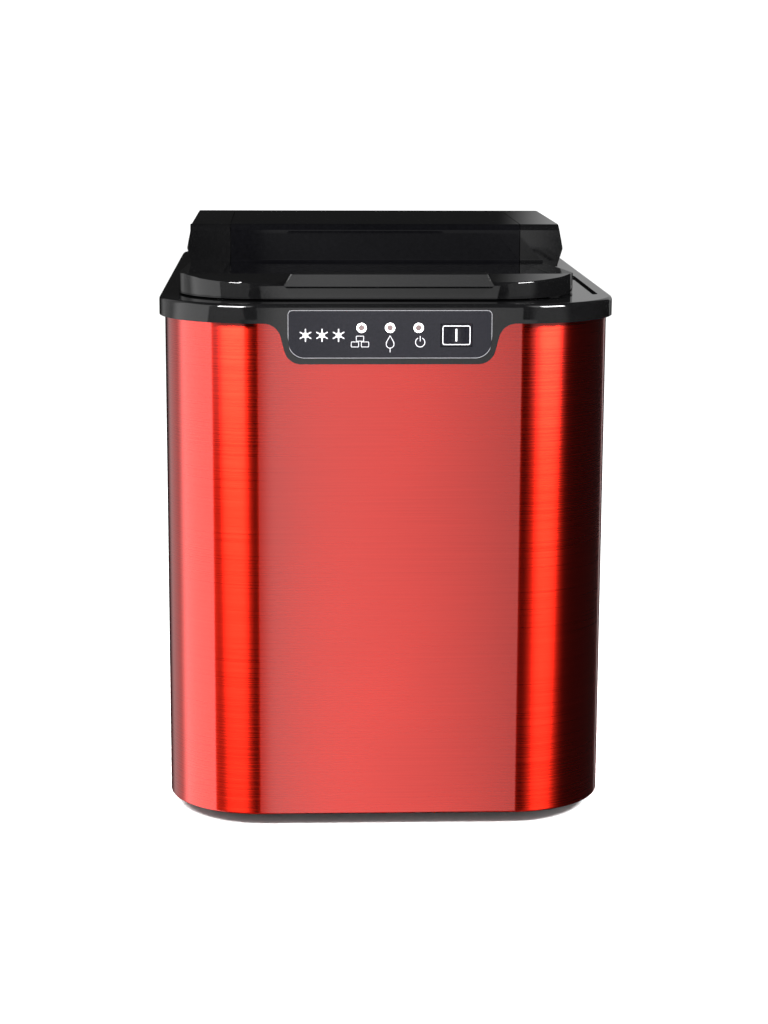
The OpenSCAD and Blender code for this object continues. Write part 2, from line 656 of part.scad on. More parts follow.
module drain_spigot() {
  color("#d9dcdf") difference() {
    union() {
      rod_x(tub_hw - wall, sw - 2.6, drain_y, drain_z, 8.9);
      rod_x(tub_hw + 0.1, tub_hw + 2.4, drain_y, drain_z, 13);
      for (i = [0:2]) rod_x(sw - 10 + i * 2.4, sw - 9 + i * 2.4, drain_y, drain_z, 9.5);
    }
    rod_x(tub_hw - wall - 1, sw, drain_y, drain_z, 6);
  }
}

module drain_cap() {
  color("#1a1a1a") difference() {
    union() {
      rod_x(sw - 11.6, sw + 1.4, drain_y, drain_z, 12.6);
      for (a = [0:30:150]) translate([sw - 4, drain_y, drain_z]) rotate([a, 0, 0])
        box([0, -1, -13.5], [4.6, 1, 13.5]);       // grip ribs
    }
    rod_x(sw - 13, sw - 2.2, drain_y, drain_z, 9.5 + gap);
    // coin slot
    box([sw + 0.2, drain_y - 9, drain_z - 1.2], [sw + 3, drain_y + 9, drain_z + 1.2]);
  }
}

// ---- cooling side ----

module compressor() {
  r = comp_r; h = comp_h; z = comp_z;
  color("#17191b") {
    translate([comp_x, comp_y, z]) rotate_extrude()
      polygon(rounded([[0, 0], [r - 8, 0], [r - 1.5, 12], [r - 1.5, h * 0.5 - 3], [r, h * 0.5 - 3],
        [r, h * 0.5 + 3], [r - 1.5, h * 0.5 + 3], [r - 1.5, h - 16], [r - 16, h], [0, h]],
        [0, 10, 8, 0, 0, 0, 0, 14, 14, 0], 5));
    for (a = mount_a) translate([comp_x, comp_y, z]) rotate(a) difference() {
      box([r - 18, -11, 0], [mount_r + 9, 11, 2.6]);
      rod_z(-1, 4, mount_r, 0, 4);
    }
  }
}

module terminal_box() {
  color("#101010") translate([comp_x, comp_y, 0]) rotate(180)
    box([comp_r - 0.9, -16, comp_z + comp_h * 0.2], [comp_r + 16, 16, comp_z + comp_h * 0.45]);
}

module grommets() {
  color("#2a2a2a") for (a = mount_a)
    translate([comp_x + mount_r * cos(a), comp_y + mount_r * sin(a), 0]) difference() {
    union() {
      rod_z(base_top + 2.1, comp_z - 0.1, 0, 0, 9);
      rod_z(comp_z - 0.2, comp_z + 4, 0, 0, 3.8);
      rod_z(comp_z + 2.7, comp_z + 4, 0, 0, 6);
    }
    rod_z(base_top, comp_z + 6, 0, 0, 2.4);
  }
}

module condenser_fins() {
  n = 15;
  color("#b9bfc4") difference() {
    for (i = [0:n - 1]) let (y = cond_y0 + 8 + i * (cond_y1 - cond_y0 - 16) / (n - 1))
      box([cond_x0, y - 0.5, cond_z0], [cond_x0 + 20, y + 0.5, cond_z1]);
    for (k = [0:4]) rod_y(cond_y0, cond_y1, cond_x0 + 10, cond_row(k), 4);
  }
}
function cond_row(k) = cond_z0 + 14 + k * (cond_z1 - cond_z0 - 28) / 4;

module condenser_tube() {
  x = cond_x0 + 10; a = cond_y0 + 2; b = cond_y1 - 2;
  color("#a8683a") pipe([[x, b + 6, cond_row(4)], [x, a, cond_row(4)], [x, a, cond_row(3)], [x, b, cond_row(3)],
    [x, b, cond_row(2)], [x, a, cond_row(2)], [x, a, cond_row(1)], [x, b, cond_row(1)], [x, b, cond_row(0)],
    [x, a, cond_row(0)], [x, a - 5, cond_row(0)]], 3.9);
}

module fan_shroud() {
  color("#26292c") difference() {
    union() {
      box([shroud_x, cond_y0, cond_z0], [shroud_x + 2, cond_y1, cond_z1]);
      rod_x(shroud_x + 2 - eps, shroud_x + 16, fan_y, fan_z, fan_r + 2.4);
      for (y = [cond_y0, cond_y1 - 18]) box([shroud_x, y, base_top + 0.1], [shroud_x + 10, y + 3, cond_z0 + 2]);
      // three struts and the ring that the motor is screwed to
      for (a = [90, 210, 330]) translate([0, fan_y, fan_z]) rotate([a, 0, 0])
        box([shroud_x + 16 - eps, -3, 12], [shroud_x + 19, 3, fan_r + 2.2]);
      rod_x(shroud_x + 16, shroud_x + 19, fan_y, fan_z, 19);
    }
    rod_x(shroud_x - 1, shroud_x + 16, fan_y, fan_z, fan_r);
    rod_x(shroud_x + 15, shroud_x + 20, fan_y, fan_z, 8);
  }
}

module fan_motor() {
  x = shroud_x + 19.1;
  color("#3b3f44") {
    rod_x(x, x + 22, fan_y, fan_z, 19);
    rod_x(x + 22 - eps, x + 25, fan_y, fan_z, 9);
    rod_x(shroud_x + 5, x + eps, fan_y, fan_z, 2.5);
  }
}

module fan_blade() {
  r = fan_r - 2; x = shroud_x + 3.5;
  color("#8d9398") difference() {
    union() {
      rod_x(x, x + 10.5, fan_y, fan_z, 13);
      for (k = [0:6]) translate([x + 5.2, fan_y, fan_z]) rotate([k * 360 / 7, 0, 0])
        intersection() {
          translate([0, 0, 8]) rotate([0, 0, 32]) translate([-0.8, -13, 0]) cube([1.6, 26, r]);
          difference() {
            translate([-5, 0, 0]) rotate([0, 90, 0]) cylinder(r = r, h = 10);
            translate([-6, 0, 0]) rotate([0, 90, 0]) cylinder(r = 12, h = 12);
          }
        }
    }
    rod_x(x - 1, x + 12, fan_y, fan_z, 2.5 + run);
  }
}

module filter_drier() {
  l = drier_l;
  color("#b87446") translate([vx, vy, drier_z]) rotate_extrude()
    polygon([[0, 0], [3, 0], [3, 5], [8.5, 12], [8.5, l - 12], [3, l - 4], [3, l], [0, l]]);
}

module hot_gas_valve() {
  z = shelf_z - 30;
  color("#50555a") {
    box([vx - 9, vy - 10, z], [vx + 9, vy + 10, z + 20]);
    rod_z(z + 20 - eps, z + 29, vx, vy, 6);
    rod_z(z - 7, z + eps, vx, vy, 5);
  }
}

module discharge_line() {
  zt = comp_z + comp_h;
  z = cond_row(4);
  y = cond_y1 + 15.5;
  rise = max(zt + 5 - z, 0);
  color("#b06a3c") pipe(concat([[comp_x - 14, comp_y, zt + 0.1], [comp_x - 14, comp_y, z + rise],
    [comp_x - 14, y, z + rise], [cond_x0 + 10, y, z + rise]], rise > 0 ? [[cond_x0 + 10, y, z]] : [],
    [[cond_x0 + 10, cond_y1 + 4.1, z]]), 3);
}

module suction_line() {
  zt = comp_z + comp_h; z = axis_z + tube_dz; y = tub_y1 + 9;
  color("#b06a3c") pipe([[comp_x + 12, comp_y + 8, zt + 0.1], [comp_x + 12, comp_y + 8, zt + 20],
    [comp_x + 12, y, zt + 20], [line_x, y, zt + 20], [line_x, y, z], [line_x, axis_y + tube_dy + tube_r, z]], 2.2);
}

module liquid_line() {
  z = axis_z + tube_dz + 12; x = line_x; yt = axis_y - tube_dy;
  color("#b06a3c") {
    pipe([[cond_x0 + 10, cond_y0 - 3.1, cond_row(0)], [cond_x0 + 10, cond_y0 - 8, cond_row(0)],
      [cond_x0 + 10, cond_y0 - 8, base_top + 10], [vx, cond_y0 - 8, base_top + 10], [vx, vy, base_top + 10],
      [vx, vy, drier_z - 0.1]], 2.4);
    pipe([[vx, vy, drier_z + drier_l + 0.1], [vx, vy, shelf_z - 37.1]], 2);
    pipe([[vx, vy, shelf_z - 0.9], [vx, vy, z], [x, vy, z], [x, yt, z], [x, yt, z - 12 + tube_r]], 1.6);
  }
}

module power_board() {
  y = sd - sheet_t - seam - wall - 8; z0 = shelf_z - 2; x0 = comp_x - 46;
  color("#2b7a45") {
    box([x0, y, z0], [x0 + 76, y + 1.6, z0 + 78]);
    box([x0 + 6, y - 18, z0 + 8], [x0 + 34, y + eps, z0 + 36]);
    box([x0 + 44, y - 14, z0 + 8], [x0 + 62, y + eps, z0 + 22]);
    rod_y(y - 20, y + eps, x0 + 52, z0 + 44, 8);
    rod_y(y - 12, y + eps, x0 + 22, z0 + 58, 6);
    for (x = [5, 71], z = [5, 73]) rod_y(y + 1.5, y + 7.9, x0 + x, z0 + z, 2.6);
  }
}

module panel_screws() {
  y1 = sd - sheet_t - 0.1;
  color("#9ea2a6") for (s = [-1, 1], z = screw_z)
    translate([s * screw_x, 0, z]) difference() {
      union() {
        rod_y(sd + 0.02, sd + 2, 0, 0, 3.4);
        rod_y(y1 - 6.5, sd + 0.1, 0, 0, 1.5);
      }
      for (a = [0, 90]) rotate([0, a, 0]) box([-0.5, sd + 1.2, -2], [0.5, sd + 3, 2]);
    }
}

// ---- lid ----

// side profile as Y and Z; t is the inset of the inner surfaces
module lid_profile(t) {
  b = t > 0 ? 6 : 0; k = t > 0 ? -0.6 * t : 0;
  polygon(rounded([[lid_y0 + t, lid_z0 - b], [lid_y0 + t, lid_edge_z - t], [win_y0, lid_win_z - t],
    [hump_y0 + t, hump_base_z - t], [hump_y0 + t, body_h - t], [lid_y1 - t, body_h - t], [lid_y1 - t, lid_z0 - b]],
    [0, 2.2 + k, 12, 1.5, 4 + k, 6 + k, 0], 5));
}
module lid_solid(t) {
  z0 = deck_z - 10; z1 = body_h + 1; h = hump_hw + bulge;
  intersection() {
    along_x(-hw, hw) lid_profile(t);
    union() {
      along_z(z0, z1) translate([-lid_right_in / 2, 0])
        plan(lid_hw - lid_right_in / 2 - t, lid_y0 + t, hump_y0 + t + 4, 45 - t, 1);
      intersection() {
        along_y(hump_y0 + t, lid_y1 - t) polygon([[-h + 3 + t, deck_z - 9], [-h + 3 + t, deck_z + 2],
          [-h + t, body_h - 14.4], [-hump_hw + t, body_h - t], [-hump_hw + t, body_h + 1], [hump_hw - t, body_h + 1],
          [hump_hw - t, body_h - t], [h - t, body_h - 14.4], [h - 3 - t, deck_z + 2], [h - 3 - t, deck_z - 9]]);
        along_z(z0, z1) plan(h, hump_y0, lid_y1 - t, 1, 17 - t);
      }
    }
  }
}
module window_plan(grow) { plan(window_hw + grow, win_y0 - grow, win_y1 + grow, win_r + grow, 6 + grow); }

module lid_frame() {
  color("#0b0b0b") difference() {
    union() {
      difference() {
        lid_solid(0);
        lid_solid(wall);
        along_z(deck_z, body_h + 2) window_plan(seam);
      }
      intersection() {                       // ledge that the window is glued to
        difference() { lid_solid(win_t + 0.1); lid_solid(win_t + 2); }
        along_z(deck_z + 1, body_h + 2) difference() { window_plan(3.4); window_plan(-4.6); }
      }
      // bosses that turn on the hinge pins
      for (s = [-1, 1]) rod_x(s * (tub_hw + 8.1) - 1.7, s * (tub_hw + 8.1) + 1.7, hinge_y, hinge_z, 5.4);
      for (s = [-1, 1])
        box([s * (tub_hw + 8.1) - 1.7, hinge_y, hinge_z], [s * (tub_hw + 8.1) + 1.7, lid_y1 - 1, hinge_z + 12]);
      // ribs from each boss out to the hump's side wall
      for (s = [-1, 1])
        box([s > 0 ? tub_hw + 8 : -lid_hw + 1, hinge_y - 2, hinge_z + 5],
          [s > 0 ? lid_hw - 1 : -tub_hw - 8, lid_y1 - 1, hinge_z + 8]);
    }
    for (s = [-1, 1]) rod_x(-hw, hw, hinge_y, hinge_z, pin_r + run);
    // slots in the back wall, in which the cover's ears stand
    for (s = [-1, 1]) rod_x(s * ear_x - 2 - gap, s * ear_x + 2 + gap, hinge_y, hinge_z, ear_sweep);
    // the rear lower edge is turned about the hinge axis
    difference() {
      box([-hw, hinge_y, deck_z - 1], [hw, hinge_y + 20, hinge_z]);
      rod_x(-hw - 1, hw + 1, hinge_y, hinge_z, 6.1);
    }
    box([-hw, hinge_y - 12, deck_z - 1], [hw, hinge_y, deck_z + 1.2]);
  }
}

module lid_window() {
  color("#2a2a2c") intersection() {
    difference() { lid_solid(0); lid_solid(win_t); }
    along_z(deck_z + 1, body_h + 2) window_plan(-seam);
  }
}

module lid_handle() {
  y = lid_y0; z = lid_edge_z;
  color("#101010") difference() {
    intersection() {
      along_x(-57, 57) polygon(rounded([[y + 1, z - 3.4], [y - 6.4, z - 2.2], [y - 5.8, z + 5.7], [y - 2, z + 5.7],
        [y + 9, z + 0.4], [y + 9, z - 3.4]], [0, 1.2, 1.2, 2, 0, 0], 4));
      along_y(y - 10, y + 12)
        polygon([[-52, z - 4], [-54.5, z - 1], [-50, z + 6], [50, z + 6], [54.5, z - 1], [52, z - 4]]);
    }
    lid_solid(0);
  }
}

module lid_bumpers() {
  color("#1d1d1d") for (s = [-1, 1]) {
    rod_z(deck_z + 0.1, lid_z0 + 5, s * (lid_hw - 30) - lid_right_in / 2, lid_y0 + 14, 3.4);
  }
}

module hinge_pins() {
  color("#c2c5c8") for (s = [-1, 1])
    rod_x(s * (tub_hw + 6) - 4, s * (tub_hw + 6) + 4, hinge_y, hinge_z, pin_r);
}

outer_shell();
base_tray();
feet();
rear_panel();
cord_gland();
exhaust_grille();
top_cover();
panel_overlay();
led_rings();
led_lenses();
power_button();
control_pcb();
tact_switch();
inner_liner();
inner_cover();
insulation();
inlet_strainer();
level_probes();
ice_sensor();
ice_basket();
ice_chute();
water_tray();
ice_shovel();
tray_shaft();
tray_motor();
evap_brackets();
evaporator();
fill_spout();
water_pump();
water_hose();
drain_spigot();
drain_cap();
compressor();
terminal_box();
grommets();
condenser_fins();
condenser_tube();
fan_shroud();
fan_motor();
fan_blade();
filter_drier();
hot_gas_valve();
discharge_line();
suction_line();
liquid_line();
power_board();
panel_screws();
lid_frame();
lid_window();
lid_handle();
lid_bumpers();
hinge_pins();
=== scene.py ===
# A counter-top ice maker: brushed red wrap, gloss black cover and lid, and the freezing works inside.
# Metres, +Z up, the front with its control tab faces -Y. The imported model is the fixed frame.
import math

import bmesh
import bpy
from mathutils import Euler, Matrix, Vector


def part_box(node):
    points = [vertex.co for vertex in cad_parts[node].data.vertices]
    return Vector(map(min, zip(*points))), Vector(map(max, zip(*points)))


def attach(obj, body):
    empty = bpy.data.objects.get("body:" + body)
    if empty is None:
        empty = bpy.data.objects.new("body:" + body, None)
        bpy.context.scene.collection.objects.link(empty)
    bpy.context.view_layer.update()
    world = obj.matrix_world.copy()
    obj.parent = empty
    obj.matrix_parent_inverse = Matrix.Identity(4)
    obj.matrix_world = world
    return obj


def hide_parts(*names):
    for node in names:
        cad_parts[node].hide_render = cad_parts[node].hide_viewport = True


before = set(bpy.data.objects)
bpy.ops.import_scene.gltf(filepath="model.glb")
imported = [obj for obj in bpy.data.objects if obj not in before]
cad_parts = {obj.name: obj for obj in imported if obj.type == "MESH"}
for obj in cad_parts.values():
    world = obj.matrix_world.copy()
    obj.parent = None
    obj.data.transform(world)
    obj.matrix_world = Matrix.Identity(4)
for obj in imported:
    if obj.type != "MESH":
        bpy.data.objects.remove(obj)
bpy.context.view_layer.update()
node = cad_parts

# ---- Studio ----
# A pale floor, a white surround and two softboxes high in front. Shiny faces see cards instead of the
# surround: one straight ahead, some beside and behind, and two high and two low ones at the front corners.


class Wire:
    """One output of a node tree. The usual operators add Math nodes to the tree."""

    def __init__(self, tree, socket):
        self.tree, self.socket = tree, socket

    def sum(self, operation, *terms):
        made = self.tree.nodes.new("ShaderNodeMath")
        made.operation = operation
        for socket, term in zip(made.inputs, terms):
            if isinstance(term, Wire):
                self.tree.links.new(term.socket, socket)
            else:
                socket.default_value = term
        return Wire(self.tree, made.outputs[0])

    def __add__(self, other):
        return self.sum("ADD", self, other)

    def __radd__(self, other):
        return self.sum("ADD", other, self)

    def __sub__(self, other):
        return self.sum("SUBTRACT", self, other)

    def __rsub__(self, other):
        return self.sum("SUBTRACT", other, self)

    def __mul__(self, other):
        return self.sum("MULTIPLY", self, other)

    def __rmul__(self, other):
        return self.sum("MULTIPLY", other, self)

    def __truediv__(self, other):
        return self.sum("DIVIDE", self, other)

    def __pow__(self, other):
        return self.sum("POWER", self, other)


class Finish:
    """A node tree being built. add() makes any node: its settings first, then its sockets."""

    def __init__(self, owner):
        owner.use_nodes = True
        self.owner, self.tree = owner, owner.node_tree
        self.tree.nodes.clear()

    def add(self, kind, settings=None, sockets=None, out=0):
        made = self.tree.nodes.new(kind)
        for name, value in (settings or {}).items():
            if name == "stops":
                ramp = made.color_ramp.elements
                while len(ramp) < len(value):
                    ramp.new(0.5)
                for stop, (place, colour) in zip(ramp, value):
                    stop.position, stop.color = place, colour
            else:
                setattr(made, name, value)
        for name, value in (sockets or {}).items():
            if isinstance(value, Wire):
                self.tree.links.new(value.socket, made.inputs[name])
            else:
                made.inputs[name].default_value = value
        return Wire(self.tree, made.outputs[out]) if made.outputs else None

    def parts(self, vector):
        made = self.tree.nodes.new("ShaderNodeSeparateXYZ")
        self.tree.links.new(vector.socket, made.inputs[0])
        return [Wire(self.tree, socket) for socket in made.outputs]

    def step(self, value, start, end, low=0.0, high=1.0):
        return self.add("ShaderNodeMapRange", {"interpolation_type": "SMOOTHSTEP"},
                        {"Value": value, "From Min": start, "From Max": end, "To Min": low, "To Max": high})

    def mix(self, factor, a, b):
        """Colour a where factor is 0 and b where it is 1."""
        made = self.tree.nodes.new("ShaderNodeMix")
        made.data_type = "RGBA"
        sockets = [s for s in made.inputs if s.enabled]
        for socket, value in zip(sockets, (factor, a, b)):
            if isinstance(value, Wire):
                self.tree.links.new(value.socket, socket)
            else:
                socket.default_value = value if socket.type == "VALUE" else (*value, 1.0)
        return Wire(self.tree, next(s for s in made.outputs if s.enabled))


world = bpy.data.worlds.new("studio")
bpy.context.scene.world = world
studio = Finish(world)
way = studio.add("ShaderNodeTexCoord")
x, y, z = studio.parts(way)
turn = studio.add("ShaderNodeMath", {"operation": "ARCTAN2"}, {0: x, 1: y * -1}) * math.degrees(1)
rise = studio.add("ShaderNodeMath", {"operation": "ARCSINE"}, {0: z}) * math.degrees(1)


def card(left, right, soft_left, soft_right, low=-60, high=30, soft=12):
    """A card between two bearings in degrees, 0 straight ahead of the front and positive to the right."""
    across = (studio.step(turn, left - soft_left, left + soft_left)
              * studio.step(turn, right - soft_right, right + soft_right, 1.0, 0.0))
    over = studio.step(rise, low - soft, low + soft)
    return across * over * studio.step(rise, high - soft, high + soft, 1.0, 0.0)


ahead = card(-0.7, 6.4, 0.25, 0.5, high=14, soft=6) * studio.step(turn, -4, 10, 1.85, 0.78)
left_side = card(-112, -59, 9, 1.2, high=40) * 1.95
far_left = card(-150, -112, 9, 9, high=40) * 0.45
behind_right = card(150, 174, 6, 1.0, low=0, high=26, soft=3) * 0.42
right_strip = card(149, 153, 1.5, 1.5) * 0.5
strobes = card(-50, -10, 3, 3, low=26, high=62, soft=8) + card(20, 58, 3, 3, low=26, high=62, soft=8)
glow = card(-58, -17, 1.5, 1.5, low=-8, high=30, soft=3) + card(20, 60, 6, 8, low=-8, high=30, soft=3)
dark_room, surround = 0.014, 1.18
seen = dark_room + ahead + left_side + far_left + behind_right + right_strip + strobes * 3.0 + glow * 0.55
rays = studio.tree.nodes.new("ShaderNodeLightPath")
glossy = Wire(studio.tree, rays.outputs["Is Glossy Ray"])
level = glossy * seen + (1 - glossy) * surround
background = studio.add("ShaderNodeBackground", None, {"Color": (1, 1, 1, 1), "Strength": level})
studio.add("ShaderNodeOutputWorld", None, {"Surface": background})


def softbox(name, bearing, height, reach, width, tall, power):
    """An area light at a bearing from straight ahead, aimed at the middle of the case."""
    light = bpy.data.lights.new(name, "AREA")
    light.shape, light.size, light.size_y, light.energy = "RECTANGLE", width, tall, power
    lamp = bpy.data.objects.new(name, light)
    bpy.context.collection.objects.link(lamp)
    a = math.radians(bearing)
    lamp.location = (reach * math.sin(a), -reach * math.cos(a), height)
    lamp.rotation_euler = (Vector((0, 0, 0.15)) - lamp.location).to_track_quat("-Z", "Y").to_euler()
    lamp.visible_camera = False
    return lamp


softbox("left_softbox", -33, 0.78, 0.94, 0.46, 0.3, 36)
softbox("right_softbox", 43, 0.78, 0.94, 0.42, 0.3, 36)

floor_reach, floor_z = 4, -0.0004
floor_mesh = bpy.data.meshes.new("floor")
floor_corners = [(floor_reach * x, floor_reach * y, floor_z) for x, y in ((-1, -1), (1, -1), (1, 1), (-1, 1))]
floor_mesh.from_pydata(floor_corners, [], [(0, 1, 2, 3)])
floor = bpy.data.objects.new("floor", floor_mesh)
bpy.context.collection.objects.link(floor)
floor.visible_glossy = False
paper = Finish(bpy.data.materials.new("floor_paper"))
grain = paper.add("ShaderNodeTexNoise", None, {"Scale": 40.0, "Detail": 4.0})
tone = paper.mix(grain, (0.86, 0.86, 0.86), (0.9, 0.9, 0.9))
sheet = paper.add("ShaderNodeBsdfPrincipled", None, {"Base Color": tone, "Roughness": 0.9})
paper.add("ShaderNodeOutputMaterial", None, {"Surface": sheet})
floor_mesh.materials.append(paper.owner)

lens = bpy.data.cameras.new("camera")
lens.lens, lens.sensor_width = 81.91, 36.0
lens.clip_start, lens.clip_end = 0.05, 20
camera = bpy.data.objects.new("camera", lens)
bpy.context.collection.objects.link(camera)
camera.matrix_world = (Matrix.Translation((-0.05071, -1.37111, 0.40481))
                       @ Euler((math.radians(78.98), 0, math.radians(-2.303))).to_matrix().to_4x4()
                       @ Matrix.Rotation(0.00419, 4, "Z"))
bpy.context.scene.camera = camera
bpy.context.scene.view_settings.view_transform = "Standard"

# ---- Wrap ----
# One sheet of steel, brushed along its length and dipped in a clear red coat, bent round the body.
# It carries a turned-in hem below and is cut out behind the tab, round the drain, the vent and the back.
case_low, case_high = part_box("outer_shell")
sheet_gauge = 0.001
front_bend, rear_bend = 0.050, 0.030


def outline(half_x, front, back, front_r, rear_r, steps=(40, 24)):
    """Points and outward directions round a plan with rounded corners, from the front left corner's end,
    along the front to the right, and back."""
    ring = [(Vector((-half_x + front_r, front, 0)), Vector((0, -1, 0)))]
    for cx, cy, r, n, start in ((half_x - front_r, front + front_r, front_r, steps[0], -90),
                                (half_x - rear_r, back - rear_r, rear_r, steps[1], 0),
                                (-half_x + rear_r, back - rear_r, rear_r, steps[1], 90),
                                (-half_x + front_r, front + front_r, front_r, steps[0], 180)):
        for k in range(n + 1):
            if start == 180 and k == n:
                break
            a = math.radians(start + 90 * k / n)
            way = Vector((math.cos(a), math.sin(a), 0))
            ring.append((Vector((cx, cy, 0)) + way * r, way))
    return ring


def loft(name, rings, cap_ends=False, closed=False):
    """A mesh through rings that hold the same number of points each, wound so that faces point outwards."""
    mesh = bmesh.new()
    rows = [[mesh.verts.new(p) for p in ring] for ring in rings]
    count = len(rows[0])
    pairs = list(zip(rows, rows[1:])) + ([(rows[-1], rows[0])] if closed else [])
    for low, high in pairs:
        for i in range(count):
            j = (i + 1) % count
            mesh.faces.new((low[i], low[j], high[j], high[i]))
    if cap_ends:
        mesh.faces.new(list(reversed(rows[0])))
        mesh.faces.new(rows[-1])
    bmesh.ops.remove_doubles(mesh, verts=mesh.verts, dist=1e-6)
    bmesh.ops.dissolve_degenerate(mesh, edges=mesh.edges, dist=1e-6)
    bmesh.ops.recalc_face_normals(mesh, faces=mesh.faces)
    data = bpy.data.meshes.new(name)
    mesh.to_mesh(data)
    mesh.free()
    made = bpy.data.objects.new(name, data)
    bpy.context.collection.objects.link(made)
    return made


def apply_modifiers(piece):
    """Turns what a piece's modifiers give into its plain mesh."""
    bpy.context.view_layer.update()
    shape = bpy.data.meshes.new_from_object(piece.evaluated_get(bpy.context.evaluated_depsgraph_get()))
    piece.modifiers.clear()
    old, piece.data = piece.data, shape
    bpy.data.meshes.remove(old)
    shape.name = piece.name


def carve(piece, cutters):
    """Takes the cutters away from a piece."""
    for cutter in cutters:
        cut = piece.modifiers.new("cut", "BOOLEAN")
        cut.operation, cut.solver, cut.object = "DIFFERENCE", "EXACT", cutter
    apply_modifiers(piece)
    for cutter in cutters:
        bpy.data.objects.remove(cutter)


def block(low, high):
    """A cutter's box."""
    corners = ((low[0], low[1]), (high[0], low[1]), (high[0], high[1]), (low[0], high[1]))
    base = [Vector((x, y, low[2])) for x, y in corners]
    lift = Vector((0, 0, high[2] - low[2]))
    return loft("cutter", [base, [p + lift for p in base]], cap_ends=True)


def bar(start, end, radius, sides=48):
    """A cutter's or a pin's round bar between two points."""
    along = (Vector(end) - Vector(start)).normalized()
    side = along.orthogonal().normalized()
    other = along.cross(side)
    rings = []
    for place in (start, end):
        rings.append([Vector(place) + (side * math.cos(t) + other * math.sin(t)) * radius
                      for t in (2 * math.pi * k / sides for k in range(sides))])
    return loft("cutter", rings, cap_ends=True)


def soften(piece, width, segments=2, angle=35):
    """Rounds a piece's edges and smooths its faces, with the flats kept flat."""
    edge = piece.modifiers.new("edge", "BEVEL")
    edge.width, edge.segments, edge.limit_method = width, segments, "ANGLE"
    edge.angle_limit, edge.use_clamp_overlap = math.radians(angle), True
    apply_modifiers(piece)
    for face in piece.data.polygons:
        face.use_smooth = True
    piece.data.set_sharp_from_angle(angle=math.radians(50))
    flat = piece.modifiers.new("flat", "WEIGHTED_NORMAL")
    flat.keep_sharp, flat.weight = True, 100
    apply_modifiers(piece)


def finish_piece(piece, material, body, slot, *replaced):
    piece.data.materials.clear()
    piece.data.materials.append(material)
    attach(piece, body)
    if replaced:
        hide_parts(*replaced)


plan = outline(case_high.x, case_low.y, case_high.y, front_bend, rear_bend)
bend = 0.0011                                # outer radius of the hem's fold
hem = 0.0085
column = [(hem, case_low.z + sheet_gauge), (hem, case_low.z)]
column += [(bend * (1 - math.sin(t)), case_low.z + bend * (1 - math.cos(t))) for t in
           (math.radians(a) for a in (0, 30, 60, 90))]
column += [(0.0, case_high.z), (sheet_gauge, case_high.z), (sheet_gauge, case_low.z + sheet_gauge)]
wrap = loft("brushed_wrap", [[p - way * inset + Vector((0, 0, z)) for p, way in plan] for inset, z in column],
            closed=True)
tab_low, tab_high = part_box("panel_overlay")
vent_low, vent_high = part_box("exhaust_grille")
cap_low, cap_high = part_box("drain_cap")
panel_low, panel_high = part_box("rear_panel")
drain_y, drain_z = (cap_low.y + cap_high.y) / 2, (cap_low.z + cap_high.z) / 2
carve(wrap, [
    block((tab_low.x + 0.004, case_low.y - 0.01, tab_low.z + 0.002),
          (tab_high.x - 0.004, case_low.y + 0.01, 0.3)),
    block((case_low.x - 0.01, vent_low.y + 0.0031, vent_low.z + 0.0031),
          (case_low.x + 0.01, vent_high.y - 0.0031, vent_high.z - 0.0031)),
    block((panel_low.x + 0.0115, case_high.y - 0.01, -0.01),
          (panel_high.x - 0.0115, case_high.y + 0.01, 0.3)),
    bar((case_high.x - 0.004, drain_y, drain_z), (case_high.x + 0.004, drain_y, drain_z), 0.0145),
])
soften(wrap, 0.00025, 2)

coat = Finish(bpy.data.materials.new("red_brushed"))
place = coat.add("ShaderNodeTexCoord", None, None, out=3)
lines = coat.add("ShaderNodeMapping", None, {"Vector": place, "Scale": (18, 18, 2600)})
long_lines = coat.add("ShaderNodeMapping", None, {"Vector": place, "Scale": (5, 5, 700)})
fine = coat.add("ShaderNodeTexNoise", None, {"Vector": lines, "Scale": 1.0, "Detail": 3.0, "Roughness": 0.6})
broad = coat.add("ShaderNodeTexNoise", None, {"Vector": long_lines, "Scale": 1.0, "Detail": 2.0})
cloud = coat.add("ShaderNodeTexNoise", None, {"Vector": place, "Scale": 9.0, "Detail": 2.0})
streak = fine * 0.65 + broad * 0.35
red = coat.mix(coat.step(streak, 0.3, 0.7), (0.77, 0.017, 0.007), (0.85, 0.024, 0.010))
rub = coat.step(streak, 0.25, 0.75, 0.265, 0.295) + coat.step(cloud, 0.3, 0.7, -0.01, 0.01)
scratch = coat.add("ShaderNodeBump", None, {"Strength": 0.05, "Distance": 0.0001, "Height": streak})
steel = coat.add("ShaderNodeBsdfPrincipled", None,
                 {"Base Color": red, "Metallic": 1.0, "Roughness": rub, "Anisotropic": 1.0,
                  "Anisotropic Rotation": 0.25, "Coat Weight": 1.0, "Coat Roughness": 0.03,
                  "Coat IOR": 1.6, "Normal": scratch})
coat.add("ShaderNodeOutputMaterial", None, {"Surface": steel})
finish_piece(wrap, coat.owner, "case", "red_brushed", "outer_shell")
